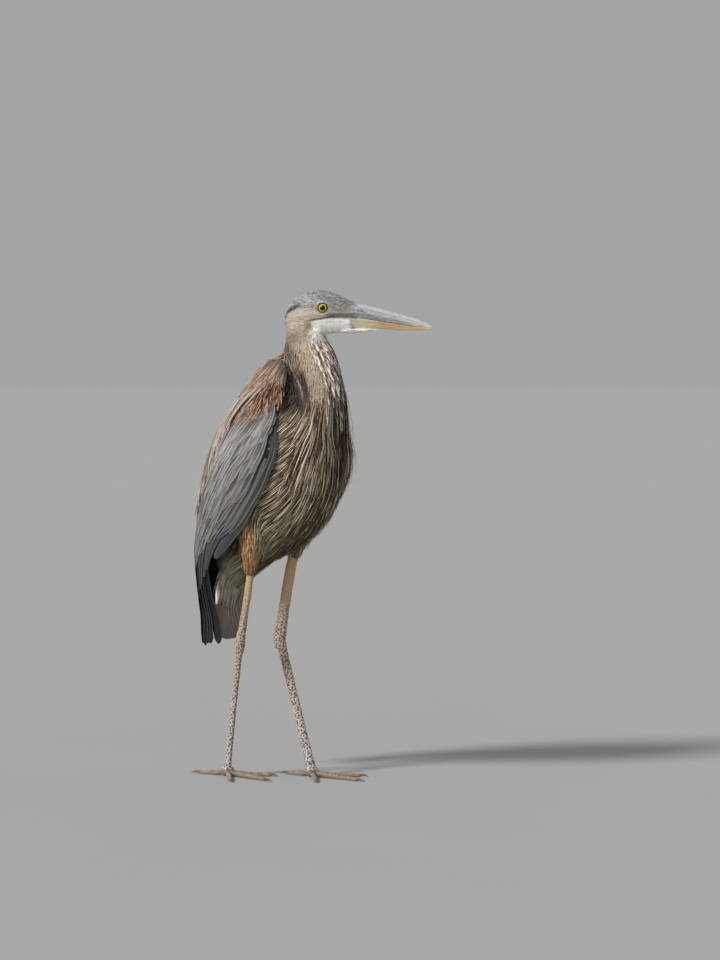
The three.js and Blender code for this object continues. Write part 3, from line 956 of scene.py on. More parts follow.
def vane_finish(name, edging, streaks=0.3, hem=0.78):
    """Firm wing and tail feathers: pale edges, a thin dark shaft, close barbs and soft streaks."""
    finish = Finish(name, Roughness=0.6, Specular_IOR_Level=0.25)
    across, along, barb = finish.vane()
    colour = finish.attribute("plumage")
    border = finish.attribute("marking")
    wobble = 0.08 * finish.noise(finish.join(barb * 0.25, along * 4.0, across * 0.5))
    edge = (abs(across) + wobble).above(hem, 1.0).most((along + wobble * 0.4).above(0.965, 1.02) * 0.4)
    shaft = (1 - abs(across).above(0.02, 0.09)) * along.above(0.02, 0.1)
    barbs = finish.noise(finish.join(barb * 0.9, across * 1.2, along * 2.0), 1.0, 3.0, 0.6)
    strands = finish.noise(finish.join(barb * 0.02, across * 4.5, along * 1.3), 1.0, 3.0, 0.6)
    colour = finish.mix(edge * edging, colour, border)
    shade = (0.86 + 0.28 * barbs) * (1 - 0.3 * shaft) * (1 + streaks * (strands - 0.5) * 2)
    colour = finish.shaded(colour, shade)
    return finish.dress(colour, 0.55 + 0.25 * barbs, barbs + strands + shaft * 0.8, 0.35, 0.0005)


def ground_finish():
    """The skin under the coat, in the coat's own colours darkened as painted shade between the feathers."""
    finish = Finish("skin under the coat", Roughness=0.9, Specular_IOR_Level=0.2)
    colour = finish.attribute("plumage")
    grain = finish.noise(finish.place(), 900.0, 3.0)
    # painted shade: the coat's colours darkened where the skin shows between feathers
    colour = finish.shaded(colour, 0.35 + 0.35 * grain)
    return finish.dress(colour, None, grain, 0.3, 0.0005)


def scale_finish(shin, foot):
    """The skin of the legs: plain on the shin, darker below it, with grooves between small cells."""
    finish = Finish("leg scales", Roughness=0.5, Specular_IOR_Level=0.4)
    where = finish.place()
    _, _, height = finish.parts(where)
    squat = {0: where, 1: (1.0, 1.0, 0.75)}
    stretched = finish.node("ShaderNodeVectorMath", squat, operation="MULTIPLY")
    shaken = finish.noise(where, 60.0)
    cells = {"Vector": stretched, "Scale": 430.0}
    edge = finish.node("ShaderNodeTexVoronoi", cells, "Distance", feature="DISTANCE_TO_EDGE")
    groove = 1 - edge.above(0.02, 0.16)
    plain = finish.mix(shaken, shin * 0.75, shin * 1.05)
    pale = finish.mix(shaken, paint(138, 120, 104), paint(168, 152, 136))
    toe = finish.mix(shaken, foot * 0.8, foot * 1.15)
    low = 1 - height.above(0.225, 0.29)
    foot_part = 1 - height.above(0.02, 0.1)
    colour = finish.mix(low, plain, pale)
    colour = finish.mix(foot_part * 0.85, colour, toe)
    colour = finish.mix(groove * 0.3, colour, paint(92, 76, 64))
    return finish.dress(colour, 0.42 + 0.3 * groove, edge.above(0.0, 0.2) + 0.3 * shaken, 0.6, 0.0006)


def horn_finish(name, stops, ridge_and_highlight, dark):
    """Bill horn: colours from the face to the tip, with long fine scratches, darker along the mouth, paler
    along the upper bill's culmen as a painted highlight and along the lower bill's underside.
    """
    finish = Finish(name, Roughness=0.42, Specular_IOR_Level=0.4, Coat_Weight=0.1, Coat_Roughness=0.3)
    across, along, rise = finish.vane()
    grain = finish.noise(finish.join(along * 4.0, across * 2.0, rise * 5.0), 2.4, 5.0, 0.75)
    fine = finish.noise(finish.join(along * 6.0, across * 3.0, rise * 14.0), 2.4, 3.0, 0.7)
    blotch = finish.noise(finish.join(along * 5.0, across, rise * 2.0), 1.6, 3.0)
    colour = finish.node("ShaderNodeValToRGB", {0: along}, "Color", stops=stops)
    # paler away from the mouth: a painted highlight along the upper bill's culmen; on the lower bill its own
    # pale underside
    colour = finish.mix(rise.above(0.45, 1.0) * 0.7, colour, ridge_and_highlight)
    streak = (1 - abs(rise - 0.12 - 0.1 * blotch).above(0.08, 0.34)) * (1 - along.above(0.5, 0.98)) * dark
    colour = finish.mix(streak * (0.5 + 0.5 * grain), colour, paint(74, 79, 88))
    colour = finish.mix(grain.above(0.46, 0.62) * 0.6 * dark, colour, paint(96, 99, 104))
    colour = finish.mix(fine.above(0.5, 0.66) * 0.5, colour, paint(236, 235, 230))
    nostril = (1 - abs(along - 0.14).above(0.05, 0.08)) * (1 - abs(rise - 0.5).above(0.02, 0.07))
    colour = finish.mix(nostril * dark * 0.7, colour, paint(48, 48, 50))
    face = (1 - along.above(0.0, 0.13)) * dark
    lore = 1 - abs(rise - 0.56).above(0.12, 0.24)
    bare = finish.mix(lore, SLATE * 1.1, paint(196, 188, 158))
    bare = finish.mix(1 - rise.above(0.3, 0.42), bare, SLATE * 0.7)
    colour = finish.mix(face * 0.85, colour, bare)
    return finish.dress(colour, 0.34 + 0.25 * grain, grain + 0.5 * fine, 0.3, 0.0005)


def plate_finish():
    """The horny plates of the legs and toes."""
    finish = Finish("leg plates", Roughness=0.5, Specular_IOR_Level=0.35)
    grain = finish.noise(finish.place(), 1400.0, 3.0)
    shade = 0.8 + 0.4 * grain
    colour = finish.shaded(finish.attribute("plumage"), shade)
    return finish.dress(colour, 0.4 + 0.3 * grain, grain, 0.3, 0.0003)


def claw_finish():
    finish = Finish("claw horn", Roughness=0.35, Specular_IOR_Level=0.45)
    grain = finish.noise(finish.place(), 420.0, 4.0)
    colour = finish.mix(grain, paint(70, 60, 52), paint(128, 116, 104))
    return finish.dress(colour, 0.3 + 0.3 * grain, grain, 0.25, 0.0003)


def lid_finish():
    finish = Finish("eyelid", Roughness=0.5, Specular_IOR_Level=0.4)
    grain = finish.noise(finish.place(), 1500.0, 3.0)
    colour = finish.mix(grain, paint(10, 9, 9), paint(40, 38, 36))
    return finish.dress(colour, None, grain, 0.4, 0.0003)


def eye_finish(side, iris):
    """A yellow iris round a black pupil, under a clear wet surface."""
    wet = {"Coat_Weight": 0.3, "Coat_Roughness": 0.02}
    finish = Finish(f"{side} eye", Roughness=0.06, Specular_IOR_Level=0.3, **wet)
    out, turn, ring = finish.vane()
    rays = finish.noise(finish.join(turn * 22.0, ring * 2.0, 0.5), 1.0, 3.0, 0.6)
    colour = finish.mix(rays, iris * 0.8, iris * 1.05)
    colour = finish.mix(out.above(0.84, 0.96), colour, paint(176, 134, 26))
    colour = finish.mix(1 - out.above(0.6, 0.66), colour, paint(170, 128, 10))
    colour = finish.mix(1 - out.above(0.56, 0.6), colour, paint(5, 5, 5))
    colour = finish.mix(out.above(0.96, 1.0), colour, paint(20, 18, 17))
    finish.feed("Base Color", colour)
    finish.feed("Roughness", 0.05 + 0.1 * out.above(0.9, 1.0))
    return finish.material


# ---- Skin ----

FLESH = ["head", "neck_upper", "neck_lower", "trunk", "thigh_right", "thigh_left"]
EYES = ["eye_right", "eye_left"]
TOES = ["middle", "inner", "outer", "hind"]
BODY_VOXEL, BODY_SMOOTHING = 1.6, 12
LEG_VOXEL, LEG_SMOOTHING = 0.8, 7
LEG_SWELL = 0.15  # brings the smoothed leg back to its packed size
SOLE = 0.05  # lowest the skin of the feet reaches
SKIN_SEED = 5
LID_TURNS, LID_RINGS = 56, 14
LID_RADIUS, LID_REACH, LID_THICKNESS = 6.75, 6.0, 0.7
BED_LEVELS = np.linspace(300, 590, 40)  # heights of the arm's skin
BED_INSET, BED_OUTSIDE, BED_INSIDE = 9, 2.0, 0.4
EYE_CLEARANCE = 7.7  # feathers keep that far from the middle of an eye


def leg_nodes(side):
    bare = [f"{part}_{side}" for part in ("tibia", "ankle", "tarsus", "foot")]
    return bare + [f"toe_{side}_{toe}" for toe in TOES]


def coat_depth(points):
    """How deep the coat is over the skin."""
    spot = Spot(points)
    body = np.interp(spot.height, [296, 340, 400, 600, 660], [2.2, 3.6, 5.0, 5.0, 4.0])
    head = np.interp(spot.along, [-20, -8, 20, 60, 82], [5.5, 3.4, 1.8, 1.1, 0.8])
    leg = fade(spot.to_leg, 20, 30) * fade(spot.height, 380, 420)
    return blend(blend(body[:, None], head[:, None], spot.on_head), 2.4, leg)[:, 0]


def eye_frame(side):
    """The eye's middle and the way it looks."""
    sign = SIDES[side]
    centre = HEAD.out([EYE[0], sign * EYE[1], CROWN - EYE[2]])
    return centre, unit(HEAD.turned([0.12, sign, 0.02]))


def revolve(centre, axis, radii, offsets, turns, closed=False):
    """A surface of revolution: points and faces, and each point's ring and turn."""
    first = unit(np.cross(axis, [0.3, 0.2, 1.0]))
    second = np.cross(axis, first)
    angle = np.linspace(0, FULL_TURN, turns, endpoint=False)
    wheel = np.cos(angle)[:, None] * first + np.sin(angle)[:, None] * second
    points = centre + offsets[:, None, None] * axis + radii[:, None, None] * wheel[None]
    index = np.arange(len(radii) * turns).reshape(len(radii), turns)
    faces = tube(np.r_[index, index[:1]] if closed else index)
    ring = np.repeat(np.linspace(0, 1, len(radii)), turns)
    return points.reshape(-1, 3), faces, ring, np.tile(angle / FULL_TURN, len(radii))


def lid(side):
    """The bare ring round the eye, with a slightly heavier upper lid."""
    centre, looks = eye_frame(side)
    turn = np.linspace(0, FULL_TURN, LID_RINGS, endpoint=False)
    radii = LID_RADIUS + 0.72 * np.cos(turn)
    offsets = LID_REACH + LID_THICKNESS * np.sin(turn)
    points, faces, _, _ = revolve(centre, looks, radii, offsets, LID_TURNS, closed=True)
    over = np.clip(points[:, 2] - centre[2], 0, 9)
    return points + looks * (0.06 * over)[:, None], faces


def wing_bed(side):
    """The arm's skin inside the folded wing: a thin crescent on the flank."""
    start, end = WING_EDGES(BED_LEVELS).T[..., None]
    angle = start + BED_INSET + (end - start - 2 * BED_INSET) * np.linspace(0, 1, 25)
    level = np.broadcast_to(BED_LEVELS[:, None], angle.shape).ravel()
    outside = flank(side, level, angle.ravel(), BED_OUTSIDE)
    inside = flank(side, level, angle.ravel(), BED_INSIDE)
    index = np.arange(angle.size).reshape(angle.shape)
    faces = sheet(index)
    rim = np.r_[index[0, :-1], index[:-1, -1], index[-1, :0:-1], index[:0:-1, 0]]
    wall = np.stack([rim, rim + angle.size, np.roll(rim, -1) + angle.size, np.roll(rim, -1)], -1)
    faces = np.concatenate([faces, faces[:, ::-1] + angle.size, wall])
    if side == "right":
        faces = faces[:, ::-1]
    return BODY.out(np.concatenate([outside, inside])), faces


class Bird:
    """Surfaces that several pieces are laid on. They are made once, when the skin is."""

    skin = None
    legs = {}


class HERON_OT_skin(bpy.types.Operator):
    """Runs the flesh together into one skin, with the bare scaled legs and the eyelids"""

    bl_idname = "heron.skin"
    bl_label = "Skin"

    def execute(self, context):
        bare = context.scene.heron_bare
        shin, foot = np.array(bare.shin), np.array(bare.foot)
        points, normals, faces = fused(FLESH + EYES, BODY_VOXEL, BODY_SMOOTHING)
        skin = points - normals * coat_depth(points)[:, None]
        Bird.skin = Surface(skin, faces)
        colours = Markings(skin, np.random.default_rng(SKIN_SEED)).vane
        shape = Shape()
        shape.add(skin, [faces], 0, plumage=colours)
        for side in SIDES:
            leg, out, quads = fused(leg_nodes(side), LEG_VOXEL, LEG_SMOOTHING)
            leg = leg + out * LEG_SWELL
            leg[:, 2] = np.maximum(leg[:, 2], SOLE)
            Bird.legs[side] = Surface(leg, quads)
            shape.add(leg, [quads], 1, plumage=shin)
            bed, quads = wing_bed(side)
            shape.add(bed, [quads], 0, plumage=SLATE)
            rim, quads = lid(side)
            shape.add(rim, [quads], 2, plumage=NIGHT)
        finishes = [ground_finish(), scale_finish(shin, foot), lid_finish()]
        shape.piece("skin", finishes, "body", FLESH + leg_nodes("right") + leg_nodes("left"))
        return {"FINISHED"}


# ---- Coats over the skin ----


def by(term, levels, sizes):
    """A size that follows one of a spot's terms."""
    return lambda spot: np.interp(getattr(spot, term), levels, sizes)


def at(size, spot):
    """A size that may be a number or a rule for spots."""
    return size(spot) if callable(size) else size + 0 * spot.height


def clear_of_eyes(line):
    """Which lines pass clear of both eyes."""
    clear = np.ones(len(line), bool)
    for side in SIDES:
        centre, looks = eye_frame(side)
        off = line - centre
        off = off - (off @ looks)[..., None] * looks
        far = np.linalg.norm(off, axis=-1).min(1) > EYE_CLEARANCE
        clear &= far | ((line[:, 0] - centre) @ looks <= 0)
    return clear


@dataclass
class Coat:
    """One stretch of small feathers over the skin. Its sizes are numbers or rules for spots."""

    slot: str
    wanted: Callable
    salt: int
    spacing: float
    length: object
    width: object
    steps: int
    thick: float
    # the roots are painted darker as shade between the feathers; this says how light they stay
    root: float = 0.3  # how light the hidden roots are
    form: tuple = (0.35, 0.45, 0.12)
    ragged: float = 0.2
    loose: object = 0
    lift: object = 0
    deep: object = coat_depth
    tint: object = None  # a colour that the feathers take on for the most part

    def lay(self, name, surface=None):
        settings = bpy.context.scene.heron_plumage
        surface = surface or Bird.skin
        chance = np.random.default_rng(settings.seed + self.salt)
        spacing = self.spacing * settings.fineness
        roots = surface.scatter(spacing, lambda places: self.wanted(Spot(places)), chance)
        count = len(roots)
        spot = Spot(roots)
        long = at(self.length, spot) * settings.length * (0.8 + 0.4 * chance.random(count))
        depth = self.deep(roots) if callable(self.deep) else self.deep
        depth = depth * (0.92 + 0.16 * chance.random(count) + self.ragged * chance.random(count) ** 3)
        depth = depth + at(self.lift, spot)
        turn = (chance.random((count, 1)) - 0.5) * 0.22

        def flow(places):
            straight = coat_flow(places)
            return straight + np.cross(straight, UP) * turn

        line, facing = lay_lines(surface, roots, long, self.steps, flow, depth, at(self.loose, spot))
        keep = clear_of_eyes(line)
        line, facing, roots = line[keep], facing[keep], roots[keep]
        wide = at(self.width, Spot(roots)) * (0.85 + 0.3 * chance.random(len(roots)))
        thick = self.thick * wide / wide.mean()
        marks = Markings(line[:, self.steps // 2], chance)
        colours, streaks = marks.vane, marks.streak
        if self.tint is not None:
            colours, streaks = blend(colours, self.tint, 0.65), blend(streaks, self.tint, 0.9)
        shape = Shape()
        add_feathers(shape, line, facing, colours, streaks, unwrapped(roots), wide, self.form, thick)
        shape.piece(name, [plume_finish(name, settings.streaks, self.root)], self.slot)


def around_eye(spot):
    return (spot.on_head > 0.5) & (spot.along < 47)


def on_face(spot):
    return (spot.on_head > 0.5) & (spot.along >= 47) & (spot.along < 81.5) & (spot.down < 63)


def on_chin(spot):
    return (spot.on_head > 0.5) & (spot.along > 26) & (spot.down > 58)


def on_neck(spot):
    return (spot.on_head <= 0.5) & (spot.on_neck > 0.4) & (spot.height > 505)


def on_thigh(spot):
    return (spot.to_leg < 17) & (spot.height < 402) & (spot.height > 292)


def under_wing(spot):
    """Whether a place is covered by a folded wing."""
    start, end = WING_EDGES(spot.height).T
    inside = (spot.angle > start + 10) & (spot.angle < end - 12)
    return inside & (spot.height > 225) & (spot.height < 585)


def on_trunk(spot):
    trunk = (spot.on_head <= 0.5) & ((spot.on_neck <= 0.4) | (spot.height <= 505))
    return trunk & ~on_thigh(spot) & ~under_wing(spot) & (spot.height > 268)


def belly_length(spot):
    """Feathers that hang towards a thigh are short enough to leave it bare."""
    length = np.interp(spot.height, [270, 340, 450], [34.0, 50.0, 58.0])
    above = spot.height > 397
    room = np.maximum(spot.height - np.where(above, 397, 298), 10)
    near = spot.to_leg < np.where(above, 21, 26)
    return np.where(near, np.minimum(length, room), length)


HEAD_COATS = {
    "head_coat": Coat(
        slot="crown",
        wanted=around_eye,
        salt=1,
        spacing=1.35,
        length=lambda spot: np.interp(spot.along, [-22, 5, 45], [10, 8, 5.2]) + 9 * ease(spot.down, 54, 70),
        width=by("along", [-22, 5, 45], [1.7, 1.45, 1.1]),
        steps=3,
        thick=0.12,
        root=0.8,
        lift=lambda spot: -3 * fade(spot.along, -20, -5),
    ),
    "face_coat": Coat(
        slot="crown",
        wanted=on_face,
        salt=2,
        spacing=1.1,
        length=by("along", [47, 80], [5.0, 3.6]),
        width=by("along", [47, 80], [1.1, 0.9]),
        steps=3,
        thick=0.1,
        root=0.75,
    ),
    "chin_coat": Coat(
        slot="crown",
        wanted=on_chin,
        salt=3,
        spacing=1.15,
        length=by("along", [26, 80, 125], [9.0, 9.5, 7.0]),
        width=1.15,
        steps=3,
        thick=0.15,
        root=0.75,
        ragged=2.2,
        loose=0.8,
    ),
}
NECK_COATS = {
    "neck_coat": Coat(
        slot="neck",
        wanted=on_neck,
        salt=4,
        spacing=1.98,
        length=by("height", [500, 600, 660], [38.0, 28.0, 15.0]),
        width=by("height", [500, 600, 660], [2.6, 2.2, 2.0]),
        steps=4,
        thick=0.2,
        root=0.75,
        form=(0.45, 0.5, 0.2),
        ragged=0.12,
        lift=lambda spot: 4.5 * ease(-spot.fore, 2, 16) * ease(spot.height, 610, 635),
    ),
}
TRUNK_COATS = {
    "breast_coat": Coat(
        slot="body",
        wanted=lambda spot: on_trunk(spot) & (spot.angle >= 80) & (spot.height > 452),
        salt=6,
        spacing=2.6,
        length=by("height", [450, 560, 640], [44.0, 26.0, 15.0]),
        width=by("height", [450, 560, 640], [3.0, 2.3, 2.0]),
        steps=5,
        thick=0.35,
        form=(0.3, 0.3, 0.08),
        ragged=0.9,
        loose=lambda spot: 0.15 + 0.35 * ease(spot.angle, 130, 160),
    ),
    "belly_coat": Coat(
        slot="body",
        wanted=lambda spot: on_trunk(spot) & (spot.angle >= 80) & (spot.height <= 452),
        salt=7,
        spacing=3.6,
        length=belly_length,
        width=by("height", [270, 340, 450], [3.2, 3.6, 3.8]),
        steps=5,
        thick=0.35,
        root=0.22,
        form=(0.3, 0.3, 0.08),
        ragged=1.3,
        loose=lambda spot: 0.25 + 0.35 * ease(spot.angle, 110, 150),
    ),
    "back_coat": Coat(
        slot="body",
        wanted=lambda spot: on_trunk(spot) & (spot.angle < 80),
        salt=8,
        spacing=3.1,
        length=by("height", [300, 500, 640], [40.0, 36.0, 18.0]),
        width=by("height", [500, 640], [4.4, 2.8]),
        steps=5,
        thick=0.3,
        root=0.5,
    ),
    "breast_strands": Coat(
        slot="body",
        wanted=lambda spot: on_trunk(spot) & (spot.angle >= 96) & (spot.height > 405) & (spot.height < 560),
        salt=20,
        spacing=9.5,
        length=by("height", [400, 560], [48.0, 38.0]),
        width=1.45,
        steps=7,
        thick=0.5,
        root=0.7,
        form=(0.5, 0.4, 0.25),
        ragged=0.3,
        loose=0.2,
        lift=3.2,
        tint=paint(250, 230, 202),
    ),
}


def thigh_coat(sign):
    return Coat(
        slot="thigh",
        wanted=lambda spot: on_thigh(spot) & (spot.aside * sign > 0),
        salt=9 + sign,
        spacing=2.4,
        length=by("height", [296, 330, 400], [16.0, 20.0, 24.0]),
        width=by("height", [296, 400], [2.2, 3.2]),
        steps=4,
        thick=0.3,
        root=0.6,
        lift=by("height", [300, 330, 385], [-1.6, 0.6, 4.0]),
    )


class HERON_OT_head_coat(bpy.types.Operator):
    """Lays the small feathers of the crown, cheeks, lores and chin"""

    bl_idname = "heron.head_coat"
    bl_label = "Head feathers"

    def execute(self, context):
        for name, coat in HEAD_COATS.items():
            coat.lay(name)
        return {"FINISHED"}


class HERON_OT_neck_coat(bpy.types.Operator):
    """Lays the feathers of the neck"""

    bl_idname = "heron.neck_coat"
    bl_label = "Neck feathers"

    def execute(self, context):
        for name, coat in NECK_COATS.items():
            coat.lay(name)
        return {"FINISHED"}


class HERON_OT_trunk_coat(bpy.types.Operator):
    """Lays the feathers of the breast, belly, back and thighs, and pale strands over the breast"""

    bl_idname = "heron.trunk_coat"
    bl_label = "Body feathers"

    def execute(self, context):
        thighs = {f"thigh_coat_{side}": thigh_coat(sign) for side, sign in SIDES.items()}
        for name, coat in (TRUNK_COATS | thighs).items():
            coat.lay(name)
        return {"FINISHED"}


# ---- Wings ----

WING_STEPS = 12
WING_WAIST = 236  # below this height the tips of the flight feathers hang free
LOWEST_TIP = 194
LEFT_RISE = 18  # the left wing's tips lie that much higher
LEFT_LAST = 0.84  # and its rows stop short of the front edge
LONG_TIPS = ([0, 0.3, 0.5, 0.7, 0.85, 1], [262, 290, 312, 334, 352, 384])
SHOULDER_PLUMES, SCAPULARS = 900, 720
COVERTS = np.array([paint(92, 91, 92), paint(110, 109, 109), paint(80, 80, 82), paint(114, 108, 101)])


def flank_lines(side, heights, angles, outs, held=0):
    """Lines on the flank, and which way it faces there. Below the held height they hang straight."""

    def place(height, angle):
        level = np.maximum(height, held)
        found = flank(side, level.ravel(), angle.ravel(), outs.ravel()).reshape(*height.shape, 3)
        found[..., 2] = height
        return found

    down = place(heights - 2, angles) - place(heights + 2, angles)
    forward = place(heights, angles + 1.5) - place(heights, angles - 1.5)
    facing = unit(np.cross(down, forward)) * -SIDES[side]
    return BODY.out(place(heights, angles)), BODY.turned(facing)


def soft_edges(levels, reach):
    """The folded wing's back and front edge, evened out over heights up to that far away."""
    edges = [WING_EDGES(levels.ravel() + shift) for shift in range(-reach, reach + 1, 12)]
    start, end = np.mean(edges, axis=0).T
    return start.reshape(levels.shape), end.reshape(levels.shape)


def grid_patches(count):
    """Even places for large feathers on the map, and the size of each."""
    columns = max(2, math.ceil(math.sqrt(count * 3)))
    rows = math.ceil(count / columns)
    index = np.arange(count)
    centres = np.stack([(index % columns + 0.5) / columns, (index // columns + 0.5) / rows], -1)
    return centres, np.array([0.9 / columns, 0.9 / rows])


@dataclass
class WingRow:
    """One row of feathers on the folded wing, from its back edge to its front edge."""

    count: int
    tips: Callable  # their heights by the part across the wing
    length: float
    wide: float
    out: tuple  # how far out the roots and the tips lie
    colours: np.ndarray
    edge: np.ndarray
    first: float
    last: float
    tip: float  # how wide the tips are, as a part of the widest place
    stray: float
    lean: float = 0.03

    def add(self, shape, side, chance, patches, size):
        count, left = self.count, side == "left"
        parts = np.linspace(self.first, min(self.last, LEFT_LAST) if left else self.last, count)
        parts = parts + (chance.random(count) - 0.5) * 0.6 / count
        tips = self.tips(parts) + (chance.random(count) - 0.5) * 2 * self.stray + LEFT_RISE * left
        tips = np.maximum(tips, LOWEST_TIP)
        lengths = self.length * (0.94 + 0.12 * chance.random(count))
        along = np.linspace(0, 1, WING_STEPS + 1)
        heights = tips[:, None] + lengths[:, None] * (1 - along)
        drift = parts[:, None] * (1 + self.lean * (1 - along))
        low, high = self.out
        outs = low + (high - low) * along**0.7 + 0.9 * (1 - parts[:, None])
        start, end = soft_edges(np.maximum(heights, WING_WAIST), 36)
        line, facing = flank_lines(side, heights, start + (end - start) * drift, outs, WING_WAIST)
        roll = np.cross(facing, unit(np.gradient(line, axis=1))) * SIDES[side]
        facing = unit(facing + 0.1 * roll)
        wide = self.wide * (0.9 + 0.2 * chance.random(count))
        # painted shade: darker towards the folded wing's back and front edges
        shaded = 1 - 0.28 * np.clip(((parts - 0.6) / 0.28) ** 2, 0, 1)
        tone = ((0.9 + 0.2 * chance.random(count)) * shaded)[:, None]
        colour = self.colours[chance.integers(0, len(self.colours), count)] * tone
        # painted shade: each feather darker towards its root, under the ones over it
        colour = colour[:, None] * (0.5 + 0.5 * ease(along, 0.3, 0.85))[:, None]
        edge = self.edge * ((0.85 + 0.3 * chance.random(count)) * shaded)[:, None]
        vanes = {"wide": wide, "form": (0.45, 0.66, self.tip), "thick": 0.5, "size": size, "bend": 0.5}
        add_feathers(shape, line, facing, colour, edge, patches, cross=BROAD, **vanes)


def covert_row(rise, index):
    """A row of coverts whose tips lie that far above the lowest row's."""
    return WingRow(
        count=22,
        tips=lambda parts: np.interp(parts, *LONG_TIPS) + rise,
        length=np.interp(rise, [0, 175], [128, 44]),
        wide=np.interp(rise, [0, 175], [13.5, 10.5]),
        out=(3.0 + 0.022 * rise, 3.9 + 0.024 * rise),
        colours=COVERTS * np.interp(rise, [0, 60, 140, 176], [0.68, 0.98, 1.5, 2.0]),
        edge=PALE_EDGE * np.interp(rise, [0, 60, 176], [0.8, 1.0, 1.25]),
        first=np.interp(rise, [0, 60, 176], [0.03, 0.05, 0.35]) + 0.02 * (index % 2),
        last=np.interp(rise, [0, 40], [0.92, 0.86]),
        tip=0.3,
        stray=9,
    )


PRIMARIES = WingRow(
    count=11,
    tips=lambda parts: np.interp(parts, [0, 0.15, 0.4, 0.7, 1], [216, 205, 197, 195, 199]),
    length=190,
    wide=23,
    out=(0.9, 1.6),
    colours=np.array([paint(24, 25, 27), paint(32, 33, 35)]),
    edge=paint(82, 80, 77),
    first=0.02,
    last=1.06,
    tip=0.75,
    stray=2,
    lean=-0.44,
)
SECONDARIES = WingRow(
    count=12,
    tips=lambda parts: np.interp(parts, [0, 0.3, 0.6, 0.8, 1], [226, 248, 270, 302, 350]),
    length=190,
    wide=21,
    out=(2.0, 2.8),
    colours=np.array([paint(70, 72, 77), paint(80, 81, 85)]),
    edge=paint(126, 125, 123),
    first=0.03,
    last=0.95,
    tip=0.45,
    stray=4,
)
FLIGHT_ROWS = [PRIMARIES, SECONDARIES]
COVERT_RISES = (0, 20, 40, 60, 82, 104, 126, 146, 162, 176)
COVERT_ROWS = [covert_row(rise, index) for index, rise in enumerate(COVERT_RISES)]


